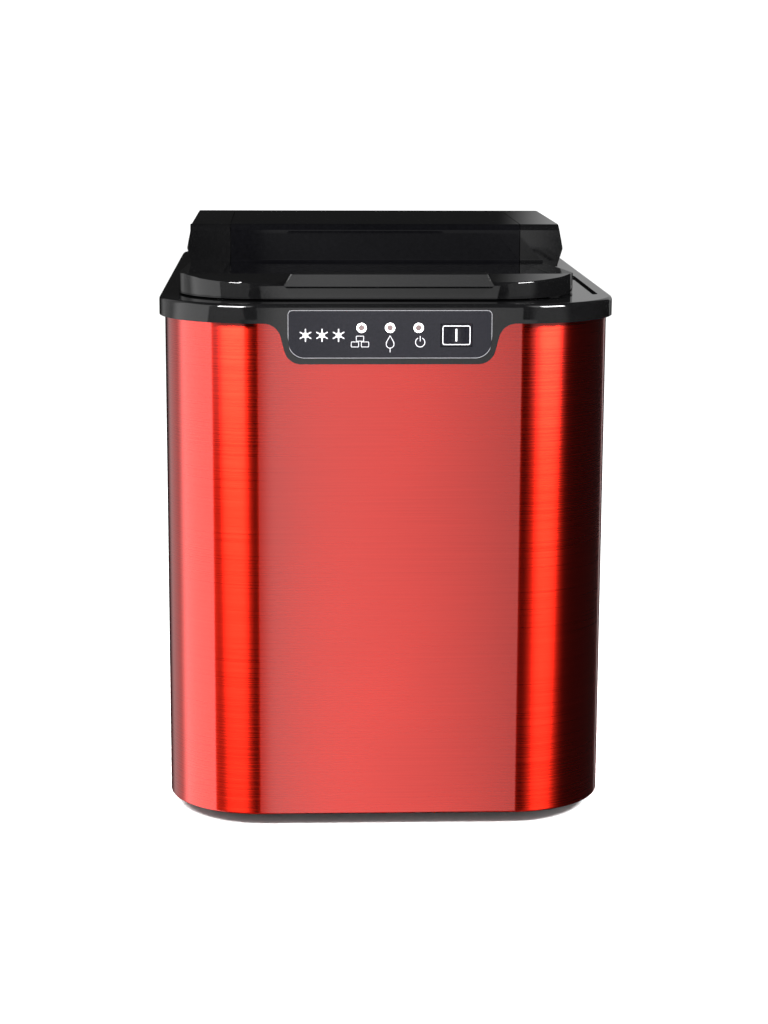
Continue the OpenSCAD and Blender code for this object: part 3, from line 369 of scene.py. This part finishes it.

# ---- Top cover ----
# The rim band, deck and control tab, one gloss black moulding that drops over the wrap and the well.
# It clips to the liner. Its top outer edges are rounded.


def rounded(name, new_name, width, segments=3, angle=30, fillets=()):
    """A welded copy of a frame node with its edges rounded. fillets are (test, width, segments), for the
    outer edges that a test on the edge's middle and its two faces' directions picks."""
    shape = node[name].data.copy()
    mesh = bmesh.new()
    mesh.from_mesh(shape)
    bmesh.ops.remove_doubles(mesh, verts=mesh.verts, dist=2e-6)
    bmesh.ops.dissolve_limit(mesh, angle_limit=math.radians(0.05), verts=mesh.verts, edges=mesh.edges)
    bmesh.ops.recalc_face_normals(mesh, faces=mesh.faces)
    for test, fillet, steps in fillets:
        picked = []
        for line in mesh.edges:
            if len(line.link_faces) != 2 or line.calc_face_angle_signed(0) < math.radians(25):
                continue
            if test((line.verts[0].co + line.verts[1].co) / 2, *(face.normal for face in line.link_faces)):
                picked.append(line)
        bmesh.ops.bevel(mesh, geom=picked, offset=fillet, segments=steps, profile=0.5, affect="EDGES",
                        clamp_overlap=False, loop_slide=True)
    mesh.to_mesh(shape)
    mesh.free()
    if "custom_normal" in shape.attributes:
        shape.attributes.remove(shape.attributes["custom_normal"])
    shape.name = new_name
    piece = bpy.data.objects.new(new_name, shape)
    bpy.context.collection.objects.link(piece)
    soften(piece, width, segments, angle)
    return piece


def moulded(name, dark, light, rough, grain, bump, **constants):
    """A moulding's plastic: a slow drift of tone, fine grain in gloss and relief, and faint scuffs."""
    made = Finish(bpy.data.materials.new(name))
    place = made.add("ShaderNodeTexCoord", None, None, out=3)
    slow = made.add("ShaderNodeTexNoise", None, {"Vector": place, "Scale": 14.0, "Detail": 3.0})
    fine = made.add("ShaderNodeTexNoise", None,
                    {"Vector": place, "Scale": grain, "Detail": 3.0, "Roughness": 0.55})
    scuff = made.add("ShaderNodeTexNoise", None,
                     {"Vector": place, "Scale": 160.0, "Detail": 6.0, "Distortion": 1.5})
    worn = made.step(scuff, 0.62, 0.74)
    tone = made.mix(made.step(slow * 0.6 + fine * 0.4, 0.3, 0.7), dark, light)
    rub = made.step(fine, 0.3, 0.7, rough * 0.92, rough * 1.08) + worn * (rough * 0.12)
    relief = made.add("ShaderNodeBump", None, {"Strength": bump, "Distance": 0.0002, "Height": fine})
    surface = made.add("ShaderNodeBsdfPrincipled", None,
                       {"Base Color": tone, "Roughness": rub, "Normal": relief, **constants})
    made.add("ShaderNodeOutputMaterial", None, {"Surface": surface})
    return made.owner


gloss_black = moulded("gloss_black", (0.0010, 0.0010, 0.0011), (0.0020, 0.0020, 0.0021), 0.06, 700.0, 0.012,
                      **{"IOR": 1.45})
deck = case_high.z + 0.0049                  # the top of the wrap is that far under the deck
rim_half_x, rim_half_y = 0.121, 0.179


def rim_face(middle, way):
    """True for a wall of the rim band: level, and facing away from the middle of the case."""
    return abs(way.z) < 0.3 and way.x * middle.x + way.y * middle.y > 0


def rim_top(middle, one, other):
    """True where the deck meets a wall of the rim band."""
    walls = [rim_face(middle, way) for way in (one, other)]
    outer = max(abs(middle.x) / rim_half_x, abs(middle.y) / rim_half_y) > 0.9
    return middle.z > deck - 0.0003 and sum(walls) == 1 and outer


cover = rounded("top_cover", "cover_moulding", 0.0002, 1, fillets=[(rim_top, 0.0022, 6)])
finish_piece(cover, gloss_black, "case", "gloss_black", "top_cover")

# ---- Control overlay ----
# A dark grey printed film, let into the tab. Its marks are printed: three crystals, then cubes for
# ice ready, a drop for water low and a power mark, each under its light. Its thin pale border is not print
# but a painted highlight, standing in for the light caught along the film's edge.
film_low, film_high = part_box("panel_overlay")
key_low, key_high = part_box("power_button")
ring_low, ring_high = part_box("led_rings")
pitch = (ring_high.x - ring_low.x - 0.0052) / 2
light_z = (ring_low.z + ring_high.z) / 2


class Print(Finish):
    """Line art on a face seen from the front, worked out in millimetres of X and Z."""

    def __init__(self, owner):
        super().__init__(owner)
        self.place = self.add("ShaderNodeTexCoord", None, None, out=3)
        x, _, z = self.parts(self.place)
        self.x, self.z = x * 1000, z * 1000
        self.ink = None

    def size(self, value):
        return value.sum("ABSOLUTE", value)

    def larger(self, a, b):
        return a.sum("MAXIMUM", a, b)

    def put(self, distance, width):
        """Inks where a distance from a line is under half its width."""
        mark = self.step(distance, width * 0.36 - 0.08, width * 0.36 + 0.08, 1.0, 0.0)
        self.ink = mark if self.ink is None else self.ink.sum("MAXIMUM", self.ink, mark)

    def box(self, x, z, half_x, half_z, radius=0.0, turn=0.0):
        """The signed distance from a rounded box."""
        u, v = self.x - x, self.z - z
        if turn:
            c, s = math.cos(math.radians(turn)), math.sin(math.radians(turn))
            u, v = u * c + v * s, v * c - u * s
        u, v = self.size(u) - (half_x - radius), self.size(v) - (half_z - radius)
        outside = (self.larger(u, 0.0) ** 2 + self.larger(v, 0.0) ** 2) ** 0.5
        inside = u.sum("MINIMUM", self.larger(u, v), 0.0)
        return outside + inside - radius

    def reach(self, x, z):
        return ((self.x - x) ** 2 + (self.z - z) ** 2) ** 0.5


film = Print(bpy.data.materials.new("panel_film"))
half_x, half_z = (film_high.x - film_low.x) * 500 - 0.25, (film_high.z - film_low.z) * 500 - 0.25
middle_z = (film_low.z + film_high.z) * 500
edge = film.larger(film.box(0, middle_z, half_x, half_z, 2.3),
                   film.box(0, middle_z + 10, half_x, half_z + 10, 8.5))
mark_z = light_z * 1000 - 7.4
step_x = pitch * 1000
for crystal in (-43.5, -35.0, -26.5):
    for tilt in (30, 90, 150):
        film.put(film.box(crystal, mark_z + 3.6, 3.1, 0.001, turn=tilt), 0.85)
    film.put(film.size(film.reach(crystal, mark_z + 3.6) - 1.3), 0.5)
for cx, cz in ((-2.6, -1.1), (2.6, -1.1), (0.0, 1.9)):
    film.put(film.size(film.box(-step_x + cx, mark_z + cz, 1.9, 1.3, 0.3)), 0.45)
film.put(film.larger(film.size(film.reach(0, mark_z - 1.0) - 2.0), film.z - mark_z), 0.5)
film.put(film.box(0, mark_z - 4.0, 0.001, 1.1), 0.5)
for side in (-1, 1):
    film.put(film.box(side * 1.05, mark_z + 1.55, 1.95, 0.001, turn=90 + side * 29), 0.5)
ring = film.size(film.reach(step_x, mark_z) - 2.4)
gap = film.step(film.box(step_x, mark_z + 2.4, 1.0, 1.4), 0.0, 0.1, 4.0, 0.0)
film.put(ring + gap, 0.55)
film.put(film.box(step_x, mark_z + 1.9, 0.001, 1.2), 0.55)
weave = film.add("ShaderNodeTexNoise", None, {"Vector": film.place, "Scale": 900.0, "Detail": 2.0})
slow = film.add("ShaderNodeTexNoise", None, {"Vector": film.place, "Scale": 30.0, "Detail": 2.0})
# Painted highlight: a pale line along the film's outline, standing in for light caught on its edge.
painted_edge_highlight = film.step(film.size(edge), 0.05, 0.25, 0.4, 0.0)
ground = film.mix(slow, (0.0015, 0.0015, 0.003), (0.0025, 0.0025, 0.004))
rub = film.step(weave, 0.3, 0.7, 0.16, 0.22) + film.ink * 0.15
relief = film.add("ShaderNodeBump", None,
                  {"Strength": 0.03, "Distance": 0.0001, "Height": weave + film.ink * 2})
# The film's colour: the printed marks, plus the painted highlight along its edge.
film_face = film.mix(film.larger(film.ink, painted_edge_highlight), ground, (0.24, 0.24, 0.25))
sheet = film.add("ShaderNodeBsdfPrincipled", None,
                 {"Base Color": film_face, "Roughness": rub, "Normal": relief, "IOR": 1.5})
film.add("ShaderNodeOutputMaterial", None, {"Surface": sheet})
overlay = rounded("panel_overlay", "overlay_film", 0.00015, 2)
finish_piece(overlay, film.owner, "case", "panel_film", "panel_overlay")

# ---- Power key ----
# A dished rocker of the same dark film colour, printed with a white border and a bar. It is pushed in
# 1.5 mm against a switch on the control board behind it.
key = Print(bpy.data.materials.new("key_film"))
key_x, key_z = (key_low.x + key_high.x) * 500, light_z * 1000 - 3.8
key.put(key.size(key.box(key_x, key_z, 7.0, 4.8, 1.0)), 0.55)
key.put(key.box(key_x, key_z, 0.25, 3.1, 0.2), 0.5)
weave = key.add("ShaderNodeTexNoise", None, {"Vector": key.place, "Scale": 800.0, "Detail": 2.0})
ground = key.mix(weave, (0.002, 0.002, 0.0035), (0.003, 0.003, 0.0045))
rub = key.step(weave, 0.3, 0.7, 0.2, 0.27) + key.ink * 0.1
relief = key.add("ShaderNodeBump", None, {"Strength": 0.04, "Distance": 0.0001, "Height": weave})
film_face = key.mix(key.ink, ground, (0.33, 0.33, 0.34))
cap = key.add("ShaderNodeBsdfPrincipled", None, {"Base Color": film_face, "Roughness": rub, "Normal": relief})
key.add("ShaderNodeOutputMaterial", None, {"Surface": cap})
button = rounded("power_button", "rocker_key", 0.00035)
finish_piece(button, key.owner, "power_key", "panel_film", "power_button")

# ---- Lights ----
# Three milky lenses in white collars, snapped into holes in the tab ahead of the control board.
collar_white = moulded("collar_white", (0.78, 0.78, 0.78), (0.86, 0.86, 0.86), 0.25, 900.0, 0.02)
collars = rounded("led_rings", "light_collars", 0.0003)
finish_piece(collars, collar_white, "case", "white_plastic", "led_rings")
lens_milk = moulded("lens_milk", (0.045, 0.030, 0.030), (0.07, 0.05, 0.05), 0.12, 600.0, 0.03,
                    **{"Coat Weight": 0.3})
lenses = rounded("led_lenses", "light_lenses", 0.0002)
finish_piece(lenses, lens_milk, "case", "clear_lens", "led_lenses")

# ---- Lid ----
# A gloss black frame with a raised rear hump, a smoked window bonded over it, a lip to lift it by and
# two rubber bumpers. It turns on two pins at the back.
lid_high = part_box("lid_frame")[1]
plate_top = lid_high.z - 0.0166


def lid_top(middle, one, other):
    """True where the top of the front plate meets its wall."""
    level = max(one.z, other.z) > 0.9 and min(one.z, other.z) < 0.5
    return level and abs(middle.z - plate_top) < 0.0012


frame_moulding = rounded("lid_frame", "lid_moulding", 0.0002, 1, fillets=[(lid_top, 0.0008, 4)])
finish_piece(frame_moulding, gloss_black, "lid", "gloss_black", "lid_frame")
smoked = moulded("smoked_window", (0.0008, 0.0008, 0.001), (0.0015, 0.0015, 0.0018), 0.04, 500.0, 0.004,
                 **{"Transmission Weight": 0.02, "IOR": 1.2})
window = rounded("lid_window", "smoked_pane", 0.0002, 1, fillets=[(lid_top, 0.0008, 4)])
finish_piece(window, smoked, "lid", "smoked_window", "lid_window")
lip = rounded("lid_handle", "lid_lip", 0.0007)
finish_piece(lip, gloss_black, "lid", "gloss_black", "lid_handle")
soft_black = moulded("rubber_black", (0.014, 0.014, 0.014), (0.024, 0.024, 0.023), 0.75, 1500.0, 0.25)
bumpers = rounded("lid_bumpers", "bumper_pads", 0.0004)
finish_piece(bumpers, soft_black, "lid", "rubber_black", "lid_bumpers")

# ---- Feet and base ----
# A black base tray carries everything, on four rubber feet that push into it.
satin_black = moulded("black_plastic", (0.010, 0.010, 0.011), (0.017, 0.017, 0.018), 0.42, 1800.0, 0.2)
feet = rounded("feet", "rubber_feet", 0.0010)
finish_piece(feet, soft_black, "case", "rubber_black", "feet")
tray = rounded("base_tray", "base_moulding", 0.0008, 2)
finish_piece(tray, satin_black, "case", "black_plastic", "base_tray")

# ---- Vents ----
# Slanted blades stand in the slots of the rear panel and of the exhaust grille, moulded with them.


def repeat_tree():
    """Geometry nodes that stand a row of units on each of the object's own points."""
    tree = bpy.data.node_groups.new("units_in_rows", "GeometryNodeTree")
    tree.is_modifier = True
    for label, kind in (("Places", "Geometry"), ("Unit", "Object"), ("Count", "Int"), ("Step", "Vector"),
                        ("Finish", "Material")):
        tree.interface.new_socket(label, in_out="INPUT", socket_type="NodeSocket" + kind)
    tree.interface.new_socket("Geometry", in_out="OUTPUT", socket_type="NodeSocketGeometry")
    given = tree.nodes.new("NodeGroupInput")
    result = tree.nodes.new("NodeGroupOutput")
    row = tree.nodes.new("GeometryNodeMeshLine")
    row.mode = "OFFSET"
    rows = tree.nodes.new("GeometryNodeInstanceOnPoints")
    spread = tree.nodes.new("GeometryNodeRealizeInstances")
    unit = tree.nodes.new("GeometryNodeObjectInfo")
    stand = tree.nodes.new("GeometryNodeInstanceOnPoints")
    whole = tree.nodes.new("GeometryNodeRealizeInstances")
    dress = tree.nodes.new("GeometryNodeSetMaterial")
    for start, end in ((given.outputs["Count"], row.inputs["Count"]),
                       (given.outputs["Step"], row.inputs["Offset"]),
                       (given.outputs["Places"], rows.inputs["Points"]),
                       (row.outputs["Mesh"], rows.inputs["Instance"]),
                       (rows.outputs["Instances"], spread.inputs["Geometry"]),
                       (spread.outputs["Geometry"], stand.inputs["Points"]),
                       (given.outputs["Unit"], unit.inputs["Object"]),
                       (unit.outputs["Geometry"], stand.inputs["Instance"]),
                       (stand.outputs["Instances"], whole.inputs["Geometry"]),
                       (whole.outputs["Geometry"], dress.inputs["Geometry"]),
                       (given.outputs["Finish"], dress.inputs["Material"]),
                       (dress.outputs["Geometry"], result.inputs["Geometry"])):
        tree.links.new(start, end)
    return tree


rows_of_units = repeat_tree()


def repeat(name, unit, places, count, step, material, body, slot, *replaced):
    """Rows of one unit, made a plain mesh. The unit itself is used up."""
    data = bpy.data.meshes.new(name)
    data.from_pydata([tuple(p) for p in places], [], [])
    piece = bpy.data.objects.new(name, data)
    bpy.context.collection.objects.link(piece)
    rows = piece.modifiers.new("rows", "NODES")
    rows.node_group = rows_of_units
    for label, value in (("Unit", unit), ("Count", count), ("Step", step), ("Finish", material)):
        rows[rows_of_units.interface.items_tree[label].identifier] = value
    apply_modifiers(piece)
    bpy.data.objects.remove(unit)
    finish_piece(piece, material, body, slot, *replaced)
    return piece


def islands(name):
    """The low and high corners of each separate solid in a frame node, in order of place."""
    mesh = bmesh.new()
    mesh.from_mesh(node[name].data)
    bmesh.ops.remove_doubles(mesh, verts=mesh.verts, dist=2e-6)
    left, boxes = set(mesh.verts), []
    while left:
        reach = [left.pop()]
        found = []
        while reach:
            vert = reach.pop()
            found.append(vert.co.copy())
            for link in vert.link_edges:
                other = link.other_vert(vert)
                if other in left:
                    left.remove(other)
                    reach.append(other)
        boxes.append(tuple(Vector(pick(c[i] for c in found) for i in range(3)) for pick in (min, max)))
    mesh.free()
    return sorted(boxes, key=lambda b: tuple(round(v, 4) for v in b[0]))


def blade(length, thick, rise, along):
    """A slanted slat with rounded long edges, lying along X or Y."""
    profile = []
    for end in (0, 1):
        for k in range(7):
            t = math.radians(90 + 30 * k - end * 180) + 0.6
            centre = Vector((-0.5, -0.5)) * rise if end == 0 else Vector((0.5, 0.5)) * rise
            profile.append(centre + Vector((math.cos(t), math.sin(t))) * thick / 2)
    rings = []
    for end in (-0.5, 0.5):
        if along == "X":
            rings.append([Vector((end * length, -u, v)) for u, v in profile])
        else:
            rings.append([Vector((-u, end * length, v)) for u, v in profile])
    slat = loft("slat", rings, cap_ends=True)
    for face in slat.data.polygons:
        face.use_smooth = len(face.vertices) == 4
    return slat


back = rounded("rear_panel", "rear_moulding", 0.0005, 2)
finish_piece(back, satin_black, "case", "black_plastic", "rear_panel")
face_y = panel_high.y
repeat("rear_louvres", blade(0.056, 0.0009, 0.0016, "X"),
       [(-0.037, face_y - 0.0013, 0.0862), (0.037, face_y - 0.0013, 0.0862)], 12, (0, 0, 0.009), satin_black,
       "case", "black_plastic")
vent = rounded("exhaust_grille", "exhaust_moulding", 0.0005, 2)
finish_piece(vent, satin_black, "case", "black_plastic", "exhaust_grille")
bars_z = (vent_high.z - vent_low.z - 0.007 - 0.012) / 10
span = (vent_high.y - vent_low.y - 0.007 - 0.007) / 2
first_y = vent_low.y + 0.0035 + 0.005
repeat("exhaust_louvres", blade(span - 0.003, 0.0009, 0.0018, "Y"),
       [(vent_low.x + 0.0012, first_y + (span - 0.003) / 2, vent_low.z + 0.0095),
        (vent_low.x + 0.0012, first_y + span + (span - 0.003) / 2, vent_low.z + 0.0095)], 11, (0, 0, bars_z),
       satin_black, "case", "black_plastic")

# ---- Rear screws ----
# Six pan-head screws with cross slots, of bright zinc-plated steel, hold the rear panel on.


def metal(name, dark, light, rough, grain=(900, 900, 900), bump=0.08, **constants):
    """Bare or plated metal with drawn or rolled grain, darker in places where it has been handled."""
    made = Finish(bpy.data.materials.new(name))
    place = made.add("ShaderNodeTexCoord", None, None, out=3)
    stretch = made.add("ShaderNodeMapping", None, {"Vector": place, "Scale": grain})
    fine = made.add("ShaderNodeTexNoise", None,
                    {"Vector": stretch, "Scale": 1.0, "Detail": 4.0, "Roughness": 0.6})
    stain = made.add("ShaderNodeTexNoise", None,
                     {"Vector": place, "Scale": 45.0, "Detail": 5.0, "Distortion": 0.8})
    tone = made.mix(made.step(fine * 0.4 + stain * 0.6, 0.32, 0.68), dark, light)
    rub = made.step(fine, 0.3, 0.7, rough * 0.85, rough * 1.15) + made.step(stain, 0.5, 0.7) * (rough * 0.2)
    relief = made.add("ShaderNodeBump", None, {"Strength": bump, "Distance": 0.0002, "Height": fine})
    surface = made.add("ShaderNodeBsdfPrincipled", None,
                       {"Base Color": tone, "Metallic": 1.0, "Roughness": rub, "Normal": relief, **constants})
    made.add("ShaderNodeOutputMaterial", None, {"Surface": surface})
    return made.owner


def turned(profile, sides=40):
    """A unit turned about Y from (radius, y) stations."""
    rings = [[Vector((r * math.cos(t), y, r * math.sin(t)))
              for t in (2 * math.pi * k / sides for k in range(sides))] for r, y in profile]
    return loft("unit", rings, cap_ends=True)


bright_steel = metal("bright_steel", (0.48, 0.48, 0.49), (0.66, 0.66, 0.65), 0.28)
screw_boxes = islands("panel_screws")
head_r = (screw_boxes[0][1].x - screw_boxes[0][0].x) / 2
long = screw_boxes[0][1].y - screw_boxes[0][0].y
shank_r, crown = 0.0015, 0.0013
dome = [(shank_r, -long), (shank_r, -0.002), (head_r, -0.0019), (head_r, -crown)]
dome += [(head_r * math.cos(t), crown * math.sin(t) - crown)
         for t in (math.radians(15 * k) for k in range(1, 6))]
screw = turned(dome)
carve(screw, [block((-0.0021, -0.0011, -0.00042), (0.0021, 0.001, 0.00042)),
              block((-0.00042, -0.0011, -0.0021), (0.00042, 0.001, 0.0021))])
soften(screw, 0.00008, 1)
screw_places = [((lo.x + hi.x) / 2, hi.y, (lo.z + hi.z) / 2) for lo, hi in screw_boxes]
repeat("rear_screws", screw, screw_places, 1, (0, 0, 0), bright_steel, "case", "bright_steel", "panel_screws")

# ---- Cord gland and drain ----
# The gland grips the supply cord at the rear; a ribbed cap closes the drain spigot on the right side.
gland = rounded("cord_gland", "gland_bush", 0.0004, 2)
finish_piece(gland, satin_black, "case", "black_plastic", "cord_gland")
stopper = rounded("drain_cap", "drain_stopper", 0.0004, 2)
finish_piece(stopper, satin_black, "cap", "black_plastic", "drain_cap")

# ---- Freezing works ----
# Under the hump: nickel-plated fingers hang from brackets in a water tray that a motor swings, and a
# shovel sweeps the ice over the chute into the basket.
pale = moulded("liner_plastic", (0.66, 0.68, 0.69), (0.74, 0.76, 0.77), 0.35, 1400.0, 0.08,
               **{"Subsurface Weight": 0.05})
clear = moulded("basket_clear", (0.42, 0.50, 0.55), (0.50, 0.57, 0.61), 0.16, 900.0, 0.03,
                **{"Transmission Weight": 0.55, "IOR": 1.5})
for name, new_name, body in (("inner_liner", "liner_tub", "case"), ("ice_chute", "chute_ramp", "case"),
                             ("water_tray", "freezing_tray", "tray"), ("ice_shovel", "sweep_shovel", "tray"),
                             ("evap_brackets", "finger_brackets", "case"),
                             ("fill_spout", "filling_spout", "case"), ("drain_spigot", "drain_tube", "case")):
    finish_piece(rounded(name, new_name, 0.0004, 2), pale, body, "liner_plastic", name)
basket = rounded("ice_basket", "basket_moulding", 0.0004, 2)
finish_piece(basket, clear, "basket", "basket_clear", "ice_basket")
plated = metal("plated_fingers", (0.56, 0.53, 0.48), (0.70, 0.67, 0.61), 0.2)
finish_piece(rounded("evaporator", "finger_bank", 0.0004, 2), plated, "case", "plated_fingers", "evaporator")
for name, new_name, body in (("tray_shaft", "swing_shaft", "tray"),
                             ("inlet_strainer", "mesh_strainer", "case"),
                             ("level_probes", "probe_pair", "case"), ("hinge_pins", "lid_pins", "case")):
    finish_piece(rounded(name, new_name, 0.0002, 2), bright_steel, body, "bright_steel", name)
for name, new_name in (("inner_cover", "works_cover"), ("tray_motor", "swing_motor"),
                       ("ice_sensor", "sensor_pair"), ("tact_switch", "key_switch"),
                       ("terminal_box", "terminal_cover"), ("fan_shroud", "shroud_ring"),
                       ("fan_motor", "fan_drive"), ("water_pump", "pump_body")):
    finish_piece(rounded(name, new_name, 0.0004, 2), satin_black, "case", "black_plastic", name)

# ---- Refrigeration ----
# A compressor on rubber mounts, a finned condenser with its tube, a fan that blows through it, and the
# copper lines, drier and valve that join them to the fingers.
enamel = moulded("compressor_black", (0.008, 0.008, 0.009), (0.016, 0.016, 0.017), 0.33, 400.0, 0.12,
                 **{"Coat Weight": 0.3})
pot = rounded("compressor", "compressor_pot", 0.0012)
finish_piece(pot, enamel, "case", "compressor_black", "compressor")
finish_piece(rounded("grommets", "rubber_mounts", 0.0005, 2), soft_black, "case", "rubber_black", "grommets")
mill = metal("fin_aluminium", (0.58, 0.60, 0.61), (0.74, 0.76, 0.77), 0.34, grain=(900, 900, 120))
fin_low, fin_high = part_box("condenser_fins")
gauge = 0.0004
corrugated = []
for side in (-1, 1):
    waves = [Vector((fin_low.x + (fin_high.x - fin_low.x) * k / 40,
                     side * gauge / 2 + 0.0005 * math.sin(k * 0.9), 0)) for k in range(41)]
    corrugated += waves if side < 0 else list(reversed(waves))
fin_edges = [[p + Vector((0, 0, z)) for p in corrugated] for z in (fin_low.z, fin_high.z)]
fin = loft("fin", fin_edges, cap_ends=True)
fin_count = 30
fin_pitch = (fin_high.y - fin_low.y - 0.002) / (fin_count - 1)
repeat("condenser_stack", fin, [(0, fin_low.y + 0.001, 0)], fin_count, (0, fin_pitch, 0), mill, "case",
       "fin_aluminium", "condenser_fins")
finish_piece(rounded("fan_blade", "fan_rotor", 0.0003, 2), mill, "fan", "fin_aluminium", "fan_blade")
drawn = metal("copper", (0.52, 0.22, 0.12), (0.68, 0.34, 0.2), 0.27)
for name, new_name in (("condenser_tube", "serpentine_tube"), ("discharge_line", "discharge_tube"),
                       ("suction_line", "suction_tube"), ("liquid_line", "liquid_tube"),
                       ("filter_drier", "drier_body"), ("hot_gas_valve", "gas_valve")):
    finish_piece(rounded(name, new_name, 0.0002, 2), drawn, "case", "copper", name)

# ---- Water, boards and foam ----
# A silicone hose from the pump, two green circuit boards, and foam poured round the tub.
silicone = moulded("pale_hose", (0.62, 0.65, 0.65), (0.72, 0.75, 0.75), 0.4, 700.0, 0.05,
                   **{"Subsurface Weight": 0.2})
finish_piece(rounded("water_hose", "silicone_hose", 0.0003, 2), silicone, "case", "pale_hose", "water_hose")
mask = moulded("circuit_board", (0.012, 0.09, 0.035), (0.02, 0.13, 0.05), 0.3, 2600.0, 0.2)
finish_piece(rounded("control_pcb", "key_board", 0.0002, 2), mask, "case", "circuit_board", "control_pcb")
finish_piece(rounded("power_board", "mains_board", 0.0003, 2), mask, "case", "circuit_board", "power_board")
cells = moulded("foam", (0.70, 0.64, 0.48), (0.82, 0.77, 0.62), 0.9, 900.0, 0.5)
finish_piece(rounded("insulation", "poured_foam", 0.0010, 2), cells, "case", "foam", "insulation")
